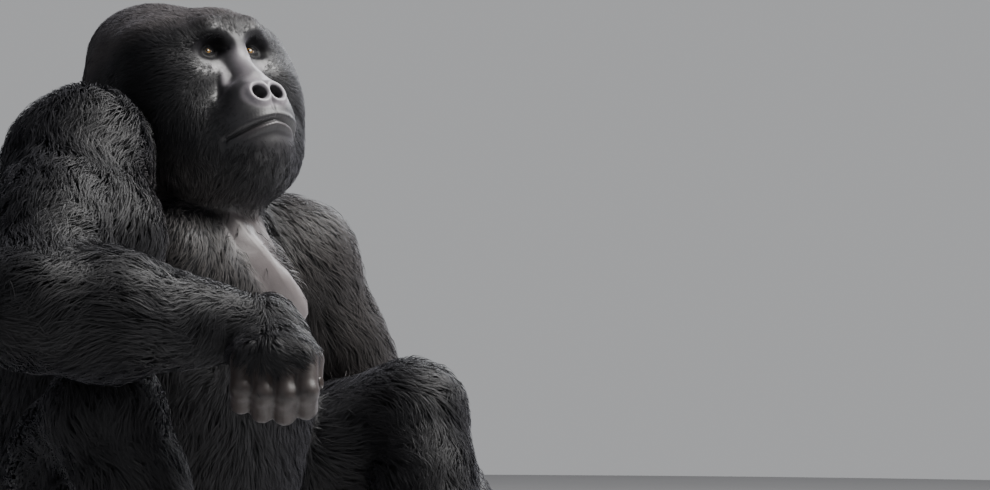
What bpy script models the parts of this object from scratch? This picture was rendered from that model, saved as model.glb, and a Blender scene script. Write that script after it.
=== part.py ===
"""Seated mountain gorilla, life size: a still museum model in faceted solids.

The outside of every solid is the outside of the coat.  The animal faces -Y, its left is +X, the
floor is z = 0.  Swellings (ellipsoids and tapered round bars) are laid out from the joints of the
body, run together, and parted at the joints into one solid for each part of the body.
"""
import bpy
import bmesh
import math
import numpy as np
from mathutils import Vector, Matrix
from mathutils.bvhtree import BVHTree

for old in list(bpy.data.objects):
    bpy.data.objects.remove(old)

# ---------------------------------------------------------------- sizes (metres)
HEAD_PITCH = math.radians(22.0)          # the face looks up by this much
HEAD_YAW = math.radians(4.0)             # and turns this much to its right
HEAD_ROLL = math.radians(2.6)            # and leans this much to its right
HEAD_AT = (0.0035, -0.2130, 0.8350)           # middle of the head, level with the ears
EYE = (0.042, 0.099, 0.018)              # eyeball centre in the head's own axes (side, forward, up)
EYE_R = 0.0135
EAR = (0.131, 0.004, 0.018)
SHOULDER = {-1: (-0.250, -0.233, 0.712), 1: (0.240, -0.190, 0.566)}
ELBOW = {-1: (-0.500, -0.425, 0.500), 1: (0.415, -0.212, 0.240)}
WRIST = {-1: (-0.180, -0.571, 0.470), 1: (0.420, -0.515, 0.0935)}
HIP = {-1: (-0.130, -0.075, 0.170), 1: (0.130, -0.075, 0.170)}
KNEE = {-1: (-0.330, -0.395, 0.345), 1: (0.302, -0.400, 0.330)}
ANKLE = {-1: (-0.290, -0.520, 0.088), 1: (0.255, -0.530, 0.088)}
DELTOID = {-1: 0.107, 1: 0.103}
FOREARM_AZ = math.radians(-42.0)         # the right forearm lies across the front on this bearing
TO_SIDE = (math.cos(FOREARM_AZ), math.sin(FOREARM_AZ), 0.0)
TO_FRONT = (math.sin(FOREARM_AZ), -math.cos(FOREARM_AZ), 0.0)

def vec(*v): return np.array(v, float)
def unit(v):
    v = np.asarray(v, float)
    return v / max(float(np.linalg.norm(v)), 1e-9)
def axes_along(z, x=(1.0, 0.0, 0.0)):
    """A right-handed set of axes (columns) whose third runs along z."""
    z = unit(z)
    x = np.asarray(x, float)
    x = unit(x - z * float(x @ z))
    return np.stack([x, np.cross(z, x), z], 1)
SIDEWARD = vec(math.cos(HEAD_YAW), -math.sin(HEAD_YAW), 0.0)
LEVELWARD = vec(-math.sin(HEAD_YAW), -math.cos(HEAD_YAW), 0.0)
FORWARD = LEVELWARD * math.cos(HEAD_PITCH) + vec(0, 0, math.sin(HEAD_PITCH))
UPWARD = vec(0, 0, math.cos(HEAD_PITCH)) - LEVELWARD * math.sin(HEAD_PITCH)
HEAD_AXES = np.stack([SIDEWARD * math.cos(HEAD_ROLL) + UPWARD * math.sin(HEAD_ROLL), FORWARD,
                      UPWARD * math.cos(HEAD_ROLL) - SIDEWARD * math.sin(HEAD_ROLL)], 1)   # left-handed: side, forward, up
LEVEL = np.eye(3)
def in_head(x, f, u): return vec(*HEAD_AT) + HEAD_AXES @ vec(x, f, u)

def right_handed(axes):
    axes = np.asarray(axes, float)
    return axes * (-1.0, 1.0, 1.0) if np.linalg.det(axes) < 0 else axes

FORMS = []                               # every swelling of the body, by the part it belongs to
def ell(part, c, r, axes=LEVEL, blend=0.03, coat=0.0, **extra):
    axes = right_handed(axes)
    FORMS.append(dict(part=part, kind='ell', c=np.asarray(c, float), r=np.asarray(r, float), axes=np.asarray(axes, float), blend=blend, coat=(coat, coat), **extra))
def cap(part, a, ra, b, rb, blend=0.03, coat=0.0, **extra):
    coat = coat if isinstance(coat, tuple) else (coat, coat)
    FORMS.append(dict(part=part, kind='cap', a=np.asarray(a, float), b=np.asarray(b, float), ra=ra, rb=rb, blend=blend, coat=coat, **extra))
def head_ell(c, r, blend=0.02, coat=0.0): ell('head', in_head(*c), r, HEAD_AXES, blend, coat)
def head_cap(a, ra, b, rb, blend=0.015, coat=0.0): cap('head', in_head(*a), ra, in_head(*b), rb, blend, coat)

def trunk():
    lean, slope = axes_along((0.0, -0.30, 0.95)), axes_along((0.0, 0.45, 0.90))
    ell('trunk', (0, 0.000, 0.175), (0.222, 0.185, 0.180), blend=0.05, coat=0.022)
    for s in (-1, 1):
        ell('trunk', (s*0.092, 0.020, 0.118), (0.112, 0.128, 0.126), blend=0.04, coat=0.016)
    ell('trunk', (0, -0.135, 0.245), (0.242, 0.230, 0.185), blend=0.06, coat=0.014)
    ell('trunk', (0, -0.155, 0.370), (0.248, 0.232, 0.200), blend=0.06, coat=0.014)
    ell('trunk', (0, -0.022, 0.400), (0.212, 0.170, 0.255), blend=0.06, coat=0.022)        # small of the back
    ell('trunk', (0, -0.105, 0.520), (0.205, 0.195, 0.220), lean, 0.06, 0.022)
    ell('trunk', (0, -0.062, 0.610), (0.220, 0.156, 0.158), lean, 0.06, 0.022)
    ell('trunk', (-0.005, -0.225, 0.530), (0.148, 0.150, 0.175), slope, 0.05, 0.008)
    ell('trunk', (0.066, -0.288, 0.498), (0.078, 0.082, 0.082), slope, 0.03, 0.004)
    ell('trunk', (-0.095, -0.270, 0.560), (0.090, 0.092, 0.105), slope, 0.04, 0.008)
    cap('trunk', (-0.012, -0.302, 0.634), 0.018, (0.012, -0.336, 0.580), 0.020, 0.016, 0.001)     # edge of the left breast
    cap('trunk', (0.012, -0.336, 0.580), 0.020, (0.052, -0.350, 0.536), 0.022, 0.016, 0.001)
    cap('trunk', (0.052, -0.350, 0.536), 0.022, (0.092, -0.347, 0.497), 0.024, 0.018, 0.001)
    cap('trunk', vec(*SHOULDER[-1]) + (0.05, 0.05, -0.02), 0.105, (-0.02, -0.09, 0.70), 0.130, 0.05, 0.022)
    cap('trunk', vec(*SHOULDER[1]) + (-0.04, 0.04, 0.0), 0.095, (0.02, -0.09, 0.68), 0.125, 0.05, 0.022)

def neck():
    cap('neck', (0, -0.08, 0.69), 0.138, in_head(0, -0.055, -0.02), 0.120, 0.06, 0.015)
    cap('neck', (0, -0.062, 0.690), 0.146, in_head(0, -0.088, 0.035), 0.099, 0.06, 0.015)   # hump of the nape
    cap('neck', (0, -0.200, 0.675), 0.085, in_head(0, 0.02, -0.12), 0.085, 0.05, 0.010)

def head():
    head_ell((0, -0.070, 0.068), (0.097, 0.100, 0.095), 0.05, 0.011)       # crest and back of the skull
    head_ell((0, -0.106, 0.108), (0.068, 0.077, 0.069), 0.05, 0.012)       # peak of the crest
    head_ell((0, 0.005, 0.034), (0.105, 0.118, 0.072), 0.05, 0.008)
    head_cap((0, -0.035, 0.075), 0.064, (0, 0.075, 0.034), 0.050, 0.05, 0.007)     # crown, sloping to the brow
    head_ell((0, 0.045, 0.035), (0.088, 0.083, 0.051), 0.05, 0.006)        # forehead
    head_ell((0, -0.078, -0.008), (0.119, 0.083, 0.112), 0.05, 0.014)      # nape
    for s in (-1, 1):
        head_ell((s*0.107, 0.036, -0.012), (0.045, 0.065, 0.098), 0.04, 0.012)     # ruff of the cheek
        head_ell((s*0.060, -0.032, 0.054), (0.062, 0.082, 0.068), 0.05, 0.009)     # side of the skull
        head_ell((s*0.074, 0.034, 0.000), (0.062, 0.078, 0.088), 0.04, 0.007)      # temple
        head_ell((s*0.083, 0.030, -0.062), (0.060, 0.082, 0.092), 0.04, 0.008)     # cheek
        head_ell((s*0.062, 0.045, -0.132), (0.056, 0.070, 0.058), 0.04, 0.007)     # jaw
        head_cap((s*0.079, 0.088, 0.034), 0.018, (s*0.040, 0.112, 0.049), 0.021, 0.02, 0.001)   # brow bar
        head_cap((s*0.040, 0.112, 0.049), 0.021, (0, 0.114, 0.047), 0.018, 0.012, 0.001)
        head_ell((s*0.068, 0.088, -0.022), (0.030, 0.026, 0.022), 0.03, 0.001)     # cheekbone
        head_ell((s*0.031, 0.107, -0.036), (0.017, 0.018, 0.024), 0.02, 0.001)     # beside the bridge
        head_ell((s*0.0235, 0.138, -0.068), (0.0225, 0.021, 0.0215), 0.012)         # wing of the nose
    head_ell((0, 0.084, -0.100), (0.074, 0.074, 0.060), 0.035, 0.001)      # muzzle
    head_ell((0, 0.121, -0.108), (0.062, 0.045, 0.032), 0.03, 0.001)       # upper lip
    head_ell((0, 0.103, -0.152), (0.055, 0.050, 0.031), 0.025, 0.002)      # chin
    head_ell((0, 0.050, -0.160), (0.078, 0.080, 0.058), 0.04, 0.008)       # beard
    head_cap((0, 0.104, 0.030), 0.014, (0, 0.134, -0.042), 0.021, 0.02)    # bridge of the nose
    head_ell((0, 0.148, -0.070), (0.012, 0.015, 0.020), 0.012)             # tip of the nose

def arm(s):
    p = 'arm_R' if s < 0 else 'arm_L'
    sh, el, wr, r0 = vec(*SHOULDER[s]), vec(*ELBOW[s]), vec(*WRIST[s]), DELTOID[s]
    ell(p, sh, (r0, r0, r0*1.03), blend=0.04, coat=0.022)
    cap(p, sh, 0.100, el, 0.084, 0.04, (0.022, 0.026))
    ell(p, sh + (el - sh)*0.45, (0.096, 0.096, 0.140), axes_along(el - sh), 0.03, 0.022)
    if s < 0:                            # the shoulder hunched toward the neck, and the breast fold carried forward
        ell(p, sh + vec(*TO_SIDE)*0.022 + (0, 0, 0.037), (0.084, 0.084, 0.089), blend=0.03, coat=0.022)
        ell(p, sh + vec(*TO_SIDE)*0.053 + vec(*TO_FRONT)*0.075 - (0, 0, 0.112), (0.088, 0.088, 0.098), blend=0.05, coat=0.020)
    m = el + (wr - el)*0.36
    cap(p, el, 0.086, m, 0.097, 0.03, (0.026, 0.030))
    cap(p, m, 0.097, wr, 0.048, 0.03, (0.030, 0.010), zone='both')

def hand(s):
    p = 'arm_R' if s < 0 else 'arm_L'
    wr = vec(*WRIST[s])
    if s < 0:                            # hangs over the shin, back upwards
        mc = wr + vec(*TO_SIDE)*0.013 + vec(*TO_FRONT)*0.082 - (0, 0, 0.042)
        side, d1, d2 = vec(*TO_SIDE), unit(vec(*TO_FRONT)*0.40 - (0, 0, 1.0)), unit(-vec(*TO_FRONT)*0.80 - (0, 0, 0.70))
    else:                                # knuckles on the floor
        mc = wr + (-0.012, -0.080, -0.036)
        side, d1, d2 = unit((-0.98, 0.12, 0.0)), unit((0, -0.66, -0.72)), unit((0, 0.96, -0.03))
    cap(p, wr, 0.046, mc, 0.037, 0.03, (0.013, 0.007), zone='both')
    cap(p, wr + side*0.010, 0.040, mc + side*0.036, 0.029, 0.02, (0.013, 0.006), zone='both')
    cap(p, wr - side*0.010, 0.040, mc - side*0.036, 0.028, 0.02, (0.013, 0.006), zone='both')
    d3 = unit(d2 - d1*0.9)
    for o, l1, l2, l3, r in ((0.045, 0.048, 0.036, 0.022, 0.0170), (0.0155, 0.053, 0.040, 0.024, 0.0178), (-0.0150, 0.051, 0.038, 0.023, 0.0172), (-0.044, 0.043, 0.032, 0.020, 0.0158)):
        p0 = mc + side*o + d1*0.004
        p1 = p0 + d1*l1 + side*o*0.05
        p2 = p1 + d2*l2
        p3 = p2 + d3*l3
        cap(p, p0, r*1.20, p1, r*1.03, 0.008, 0.0008, zone='end')
        cap(p, p1, r*1.06, p2, r*0.98, 0.006, 0.0005, zone='end')
        cap(p, p2, r*0.98, p3, r*0.86, 0.005, 0.0005, zone='end')
    t0 = wr + (mc - wr)*0.30 + side*0.032
    t1 = t0 + side*0.030 + d1*0.026 + unit(mc - wr)*0.020
    t2 = t1 + side*0.002 + d1*0.036
    cap(p, t0, 0.022, t1, 0.018, 0.015, 0.001, zone='end')
    cap(p, t1, 0.018, t2, 0.0145, 0.006, 0.0005, zone='end')

def leg(s):
    p = 'leg_R' if s < 0 else 'leg_L'
    hp, kn, an = vec(*HIP[s]), vec(*KNEE[s]), vec(*ANKLE[s])
    mid = hp + (kn - hp)*0.55
    cap(p, hp, 0.128, mid, 0.112, 0.04, 0.018)
    cap(p, mid, 0.112, kn, 0.086, 0.04, 0.020)
    m = kn + (an - kn)*0.38 + (0, 0.012, 0)
    cap(p, kn, 0.084, m, 0.082, 0.03, 0.022)
    cap(p, m, 0.082, an, 0.050, 0.03, (0.022, 0.008), zone='both')

def foot(s):
    p = 'leg_R' if s < 0 else 'leg_L'
    an = vec(*ANKLE[s])
    heel = an + (-s*0.010, 0.045, -0.050)
    ball = an + (s*0.030, -0.125, -0.056)
    cap(p, an, 0.048, heel, 0.042, 0.03, (0.006, 0.001), zone='both')
    cap(p, heel, 0.042, ball, 0.038, 0.03, (0.003, 0.003), zone='end')
    cap(p, heel, 0.038, ball + (-s*0.045, 0.02, 0), 0.034, 0.03, (0.001, 0.002), zone='end')
    cap(p, ball + (s*0.03, 0.01, 0), 0.030, ball + (-s*0.045, 0.0, 0), 0.032, 0.025, 0.002, zone='end')
    for ox, ln, r in ((-0.030, 0.082, 0.0175), (-0.002, 0.086, 0.0170), (0.024, 0.078, 0.0162), (0.048, 0.066, 0.0155)):
        b0 = ball + (s*ox, 0.0, 0.0)
        b1 = b0 + (s*0.008, -ln*0.62, 0.004)
        b2 = b0 + (s*0.012, -ln, -0.014)
        cap(p, b0, r, b1, r, 0.008, 0.0005, zone='end')
        cap(p, b1, r, b2, r*0.92, 0.008, 0.0005, zone='end')
    t0 = heel + (-s*0.030, -0.095, 0.0)
    t1 = t0 + (-s*0.042, -0.050, 0.0)
    t2 = t1 + (-s*0.020, -0.045, -0.008)
    cap(p, t0, 0.027, t1, 0.023, 0.015, 0.0005, zone='end')
    cap(p, t1, 0.023, t2, 0.018, 0.010, 0.0005, zone='end')

# ---------------------------------------------------------------- making and cutting
GAP = 0.0003                             # clearance kept between neighbours
SETTLE = (0.0358, 0.2868, 0.0)              # puts the middle of the footprint on the origin

def new_object(name, bm):
    me = bpy.data.meshes.new(name)
    bm.to_mesh(me)
    bm.free()
    ob = bpy.data.objects.new(name, me)
    bpy.context.scene.collection.objects.link(ob)
    return ob

def swell(bm, F, fineness):
    """Add one swelling to bm as a closed shell."""
    if F['kind'] == 'ell':
        m = Matrix.Translation(Vector(F['c'])) @ Matrix(F['axes'].tolist()).to_4x4() @ Matrix.Diagonal((*F['r'].tolist(), 1.0))
        bmesh.ops.create_icosphere(bm, subdivisions=fineness, radius=1.0, matrix=m)
        return
    t = bmesh.new()
    for end, r in ((F['a'], F['ra']), (F['b'], F['rb'])):
        bmesh.ops.create_icosphere(t, subdivisions=fineness, radius=r, matrix=Matrix.Translation(Vector(end)))
    hull = bmesh.ops.convex_hull(t, input=t.verts)
    junk = {g for g in hull['geom_interior'] + hull['geom_unused'] if isinstance(g, bmesh.types.BMVert)}
    bmesh.ops.delete(t, geom=list(junk), context='VERTS')
    tmp = bpy.data.meshes.new('bar')
    t.to_mesh(tmp)
    t.free()
    bm.from_mesh(tmp)
    bpy.data.meshes.remove(tmp)

def evaluated(ob):
    deps = bpy.context.evaluated_depsgraph_get()
    me = bpy.data.meshes.new_from_object(ob.evaluated_get(deps), depsgraph=deps)
    for m in list(ob.modifiers):
        ob.modifiers.remove(m)
    old, ob.data = ob.data, me
    bpy.data.meshes.remove(old)
    return ob

def run_together(name, parts, voxel, rounds, triangles, zones=(None, 'both', 'end'), fineness=3):
    """All swellings of these parts as one smooth skin of about this many triangles."""
    bm = bmesh.new()
    for F in FORMS:
        if F['part'] in parts and F.get('zone') in zones:
            swell(bm, F, fineness)
    ob = new_object(name, bm)
    m = ob.modifiers.new('Run together', 'REMESH')
    m.mode, m.voxel_size, m.adaptivity = 'VOXEL', voxel, 0.0
    m = ob.modifiers.new('Ease', 'SMOOTH')
    m.factor, m.iterations = 0.5, rounds
    evaluated(ob)
    m = ob.modifiers.new('Facet', 'DECIMATE')
    m.decimate_type, m.ratio, m.use_collapse_triangulate = 'COLLAPSE', min(1.0, triangles / (2.0 * len(ob.data.polygons))), True
    return evaluated(ob)

def copy_of(ob, name):
    new = bpy.data.objects.new(name, ob.data.copy())
    bpy.context.scene.collection.objects.link(new)
    return new

def keep_side(ob, point, normal, inset=GAP / 2):
    """Cut ob with a plane, keep the side the normal points to, and close the cut."""
    n = Vector(unit(normal))
    p = Vector(np.asarray(point, float)) + n * inset
    bm = bmesh.new()
    bm.from_mesh(ob.data)
    r = bmesh.ops.bisect_plane(bm, geom=bm.verts[:] + bm.edges[:] + bm.faces[:], dist=1e-6, plane_co=p, plane_no=n, clear_inner=True)
    rim = [e for e in r['geom_cut'] if isinstance(e, bmesh.types.BMEdge) and e.is_boundary]
    if rim:
        bmesh.ops.holes_fill(bm, edges=[e for e in bm.edges if e.is_boundary], sides=0)
    bmesh.ops.triangulate(bm, faces=bm.faces[:])
    bm.normal_update()
    bm.to_mesh(ob.data)
    bm.free()
    return largest_only(ob)

def largest_only(ob):
    bm = bmesh.new()
    bm.from_mesh(ob.data)
    bmesh.ops.remove_doubles(bm, verts=bm.verts[:], dist=1e-6)
    bmesh.ops.dissolve_degenerate(bm, edges=bm.edges[:], dist=1e-7)
    rim = [e for e in bm.edges if e.is_boundary]
    if rim:
        bmesh.ops.holes_fill(bm, edges=rim, sides=0)
    bmesh.ops.triangulate(bm, faces=bm.faces[:])
    seen, lumps = set(), []
    for v in bm.verts:
        if v in seen:
            continue
        lump, stack = [], [v]
        seen.add(v)
        while stack:
            w = stack.pop()
            lump.append(w)
            for e in w.link_edges:
                o = e.other_vert(w)
                if o not in seen:
                    seen.add(o)
                    stack.append(o)
        lumps.append(lump)
    lumps.sort(key=len)
    for lump in lumps[:-1]:
        bmesh.ops.delete(bm, geom=lump, context='VERTS')
    bmesh.ops.recalc_face_normals(bm, faces=bm.faces[:])
    bm.to_mesh(ob.data)
    bm.free()
    return ob

def cutter_from(ob, grow):
    """A copy of ob grown by this much, used only to cut."""
    cut = copy_of(ob, ob.name + '.cutter')
    bm = bmesh.new()
    bm.from_mesh(cut.data)
    bm.normal_update()
    moves = [v.normal.copy() * grow for v in bm.verts]
    for v, d in zip(bm.verts, moves):
        v.co += d
    bm.to_mesh(cut.data)
    bm.free()
    cut.hide_render, cut.display_type = True, 'WIRE'
    return cut

def take_away(ob, cut):
    m = ob.modifiers.new('Part from neighbour', 'BOOLEAN')
    m.operation, m.solver, m.object = 'DIFFERENCE', 'EXACT', cut
    evaluated(ob)
    return largest_only(ob)

def tree(ob):
    bm = bmesh.new()
    bm.from_mesh(ob.data)
    t = BVHTree.FromBMesh(bm)
    bm.free()
    return t

def shell(name, c, r, fineness=2, axes=HEAD_AXES):
    bm = bmesh.new()
    m = Matrix.Translation(Vector(c)) @ Matrix(right_handed(axes).tolist()).to_4x4() @ Matrix.Diagonal((*r, 1.0))
    bmesh.ops.create_icosphere(bm, subdivisions=fineness, radius=1.0, matrix=m)
    return new_object(name, bm)

def mouth_cutter():
    """A thin lens-section wedge along the line of the lips."""
    bm = bmesh.new()
    rings = []
    n = 14
    for i in range(n + 1):
        x = -0.064 + 0.128 * i / n
        u = -0.1200 - 0.0090 * (abs(x) / 0.05) ** 1.15
        f = 0.166 - 5.5 * x * x
        thick = 0.0022 * max(0.25, 1.0 - (x / 0.070) ** 4)
        rings.append([bm.verts.new(in_head(x, f - 0.010, u)), bm.verts.new(in_head(x, f + 0.012, u - thick * 2)), bm.verts.new(in_head(x, f + 0.012, u + thick * 2))])
    for a, b in zip(rings, rings[1:]):
        for k in range(3):
            bm.faces.new((a[k], a[(k + 1) % 3], b[(k + 1) % 3], b[k]))
    bm.faces.new(rings[0][::-1])
    bm.faces.new(rings[-1])
    bmesh.ops.recalc_face_normals(bm, faces=bm.faces[:])
    return new_object('mouth.cutter', bm)

# ---------------------------------------------------------------- the body, part by part
trunk()
neck()
head()
for side in (-1, 1):
    arm(side)
    hand(side)
    leg(side)
    foot(side)

made = {}
def part_named(name, ob):
    ob.name = name
    made[name] = ob
    return ob

# head and neck come from one form and part on a plane from nape to throat
throat, nape = in_head(0, 0.000, -0.178), in_head(0, -0.150, 0.010)
across = np.cross(nape - throat, (1.0, 0.0, 0.0))
if across[2] < 0:
    across = -across
chain = run_together('head_and_neck', ('head', 'neck'), 0.0055, 8, 1400)
part_named('neck', keep_side(copy_of(chain, 'neck'), throat, -across))
keep_side(made['neck'], (0.0, -0.10, 0.672), (0.0, -0.12, 1.0))
part_named('head', keep_side(chain, throat, across))
for s, tag in ((-1, 'R'), (1, 'L')):
    part_named('eye_' + tag, shell('eye_' + tag, in_head(s*EYE[0], EYE[1], EYE[2]), (EYE_R,)*3, 2))
    e = shell('ear_' + tag, in_head(s*EAR[0], EAR[1], EAR[2]), (0.016, 0.019, 0.027), 3,
              HEAD_AXES @ np.array(Matrix.Rotation(math.radians(-28)*s, 3, 'Z')))
    bowl = shell('ear_bowl.cutter', in_head(s*(EAR[0] + 0.012), EAR[1] + 0.011, EAR[2]), (0.010, 0.013, 0.017), 2)
    bowl.hide_render, bowl.display_type = True, 'WIRE'
    take_away(e, bowl)
    m = e.modifiers.new('Facet', 'DECIMATE')
    m.ratio = 0.6
    evaluated(e)
    part_named('ear_' + tag, e)
    for c, r in (((s*0.0430, 0.1330, 0.0175), (0.0260, 0.0285, 0.0170)), ((s*0.0178, 0.170, -0.0735), (0.0134, 0.027, 0.0122))):
        hollow = shell('hollow.cutter', in_head(*c), r, 2)
        hollow.hide_render, hollow.display_type = True, 'WIRE'
        take_away(made['head'], hollow)
lips = mouth_cutter()
lips.hide_render, lips.display_type = True, 'WIRE'
take_away(made['head'], lips)

# trunk: chest above, abdomen and hips below
waist = (0.0, -0.15, 0.400)
waist_up = (0.0, -0.18, 0.98)
chain = run_together('trunk', ('trunk',), 0.010, 22, 780)
part_named('abdomen', keep_side(copy_of(chain, 'abdomen'), waist, [-v for v in waist_up]))
part_named('chest', keep_side(chain, waist, waist_up))
keep_side(made['abdomen'], (0, 0, 0), (0, 0, 1), 0.0)

for s, tag in ((-1, 'R'), (1, 'L')):
    sh, el, wr = (vec(*t[s]) for t in (SHOULDER, ELBOW, WRIST))
    upper, lower = unit(el - sh), unit(wr - el)
    knuckles = unit(vec(*TO_FRONT) + lower - (0, 0, 0.4)) if s < 0 else unit(lower + (0, -0.8, -0.3))
    chain = run_together('arm', ('arm_' + tag,), 0.0085, 8, 420, (None, 'both'))
    fine = run_together('hand_form', ('arm_' + tag,), 0.0042, 2, 710, ('both', 'end'))
    grip = wr + lower * 0.004
    part_named('hand_' + tag, keep_side(fine, grip, knuckles))
    f = copy_of(chain, 'forearm')
    keep_side(f, grip, -knuckles)
    part_named('forearm_' + tag, keep_side(f, el, lower + upper))
    keep_side(chain, el, -upper - lower)
    part_named('upper_arm_' + tag, chain)
    hp, kn, an = (vec(*t[s]) for t in (HIP, KNEE, ANKLE))
    thigh_way, shin_way = unit(kn - hp), unit(an - kn)
    chain = run_together('leg', ('leg_' + tag,), 0.009, 8, 370, (None, 'both'))
    fine = run_together('foot_form', ('leg_' + tag,), 0.0048, 2, 640, ('both', 'end'))
    instep = an + (0.0, 0.0, 0.022)
    tread = unit(vec(0.0, -0.25, -1.0))
    part_named('foot_' + tag, keep_side(fine, instep, tread))
    keep_side(made['foot_' + tag], (0, 0, 0), (0, 0, 1), 0.0)
    sh_ = copy_of(chain, 'shank')
    keep_side(sh_, instep, -tread)
    part_named('shank_' + tag, keep_side(sh_, kn, shin_way + thigh_way))
    keep_side(chain, kn, -thigh_way - shin_way)
    part_named('thigh_' + tag, chain)
keep_side(made['hand_L'], (0, 0, 0), (0, 0, 1), 0.0)

# wherever two parts press together, the later one in this order gives way
ORDER = ['eye_R', 'eye_L', 'head', 'ear_R', 'ear_L', 'neck', 'hand_R', 'forearm_R', 'upper_arm_R', 'hand_L', 'forearm_L', 'upper_arm_L',
         'foot_R', 'foot_L', 'shank_R', 'shank_L', 'thigh_R', 'thigh_L', 'chest', 'abdomen']
for i, low in enumerate(ORDER):
    for high in ORDER[:i]:
        if high.startswith('eye') and low not in ('head',):
            continue
        probe = cutter_from(made[high], GAP * 0.5)
        touch = tree(made[low]).overlap(tree(probe))
        bpy.data.objects.remove(probe)
        for grow in (GAP * 1.5, GAP * 3.0, GAP * 5.0):
            if not touch:
                break
            take_away(made[low], cutter_from(made[high], grow))
            touch = tree(made[low]).overlap(tree(made[high]))
for junk in [o for o in bpy.data.objects if o.name.endswith('.cutter') or '.cutter.' in o.name]:
    bpy.data.objects.remove(junk)

# ---------------------------------------------------------------- colours
def material(name, colour, rough, metal=0.0):
    m = bpy.data.materials.new(name)
    m.use_nodes = True
    b = m.node_tree.nodes['Principled BSDF']
    b.inputs['Base Color'].default_value = (*colour, 1.0)
    b.inputs['Roughness'].default_value = rough
    b.inputs['Metallic'].default_value = metal
    return m
FUR, SKIN, CHEST, EYES = (0.030, 0.029, 0.033), (0.036, 0.033, 0.036), (0.11, 0.095, 0.09), (0.16, 0.075, 0.025)
for name, ob in made.items():
    colour, rough = FUR, 0.75
    if name.startswith('eye'):
        colour, rough = EYES, 0.08
    elif name[:4] in ('hand', 'foot', 'ear_'):
        colour, rough = SKIN, 0.5
    elif name == 'chest':
        colour, rough = CHEST, 0.7
    ob.data.materials.clear()
    ob.data.materials.append(material(name + '_finish', colour, rough))
    ob.data.transform(Matrix.Translation(Vector(SETTLE)))
    ob.data.shade_smooth()
    ob.data.set_sharp_from_angle(angle=math.radians(50))
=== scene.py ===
"""Looks of the seated mountain gorilla, life size.

One skin over the whole body, eyes with lids, nails, and a coat of mesh tufts rooted on the skin.
The same swellings as the CAD's are laid out here again; the skin lies inside them by the coat's depth.
"""
import bpy
import bmesh
import math
import numpy as np
import openvdb
from mathutils import Matrix, Vector
from mathutils.kdtree import KDTree


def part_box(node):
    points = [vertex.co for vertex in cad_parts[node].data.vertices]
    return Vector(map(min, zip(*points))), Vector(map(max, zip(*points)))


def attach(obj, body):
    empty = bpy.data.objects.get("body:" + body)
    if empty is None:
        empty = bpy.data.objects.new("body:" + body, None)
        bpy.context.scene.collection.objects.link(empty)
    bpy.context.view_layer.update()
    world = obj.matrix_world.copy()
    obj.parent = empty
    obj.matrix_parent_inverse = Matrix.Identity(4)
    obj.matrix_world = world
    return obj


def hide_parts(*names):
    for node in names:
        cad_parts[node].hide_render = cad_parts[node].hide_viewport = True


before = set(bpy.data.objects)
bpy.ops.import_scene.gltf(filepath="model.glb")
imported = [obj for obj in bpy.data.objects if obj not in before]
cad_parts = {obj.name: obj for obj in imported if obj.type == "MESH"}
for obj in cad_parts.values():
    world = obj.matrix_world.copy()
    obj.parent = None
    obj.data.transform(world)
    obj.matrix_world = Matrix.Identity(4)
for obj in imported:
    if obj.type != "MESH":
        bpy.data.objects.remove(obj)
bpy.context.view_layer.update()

# ---------------------------------------------------------------- sizes (metres)
HEAD_PITCH = math.radians(22.0)          # the face looks up by this much
HEAD_YAW = math.radians(4.0)             # and turns this much to its right
HEAD_ROLL = math.radians(2.6)            # and leans this much to its right
HEAD_AT = (0.0035, -0.2130, 0.8350)           # middle of the head, level with the ears
EYE = (0.042, 0.099, 0.018)              # eyeball centre in the head's own axes (side, forward, up)
EYE_R = 0.0135
EAR = (0.131, 0.004, 0.018)
SHOULDER = {-1: (-0.250, -0.233, 0.712), 1: (0.240, -0.190, 0.566)}
ELBOW = {-1: (-0.500, -0.425, 0.500), 1: (0.415, -0.212, 0.240)}
WRIST = {-1: (-0.180, -0.571, 0.470), 1: (0.420, -0.515, 0.0935)}
HIP = {-1: (-0.130, -0.075, 0.170), 1: (0.130, -0.075, 0.170)}
KNEE = {-1: (-0.330, -0.395, 0.345), 1: (0.302, -0.400, 0.330)}
ANKLE = {-1: (-0.290, -0.520, 0.088), 1: (0.255, -0.530, 0.088)}
DELTOID = {-1: 0.107, 1: 0.103}
FOREARM_AZ = math.radians(-42.0)         # the right forearm lies across the front on this bearing
TO_SIDE = (math.cos(FOREARM_AZ), math.sin(FOREARM_AZ), 0.0)
TO_FRONT = (math.sin(FOREARM_AZ), -math.cos(FOREARM_AZ), 0.0)

def vec(*v): return np.array(v, float)
def unit(v):
    v = np.asarray(v, float)
    return v / max(float(np.linalg.norm(v)), 1e-9)
def axes_along(z, x=(1.0, 0.0, 0.0)):
    """A right-handed set of axes (columns) whose third runs along z."""
    z = unit(z)
    x = np.asarray(x, float)
    x = unit(x - z * float(x @ z))
    return np.stack([x, np.cross(z, x), z], 1)
SIDEWARD = vec(math.cos(HEAD_YAW), -math.sin(HEAD_YAW), 0.0)
LEVELWARD = vec(-math.sin(HEAD_YAW), -math.cos(HEAD_YAW), 0.0)
FORWARD = LEVELWARD * math.cos(HEAD_PITCH) + vec(0, 0, math.sin(HEAD_PITCH))
UPWARD = vec(0, 0, math.cos(HEAD_PITCH)) - LEVELWARD * math.sin(HEAD_PITCH)
HEAD_AXES = np.stack([SIDEWARD * math.cos(HEAD_ROLL) + UPWARD * math.sin(HEAD_ROLL), FORWARD,
                      UPWARD * math.cos(HEAD_ROLL) - SIDEWARD * math.sin(HEAD_ROLL)], 1)   # left-handed: side, forward, up
LEVEL = np.eye(3)
def in_head(x, f, u): return vec(*HEAD_AT) + HEAD_AXES @ vec(x, f, u)

def right_handed(axes):
    axes = np.asarray(axes, float)
    return axes * (-1.0, 1.0, 1.0) if np.linalg.det(axes) < 0 else axes

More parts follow.
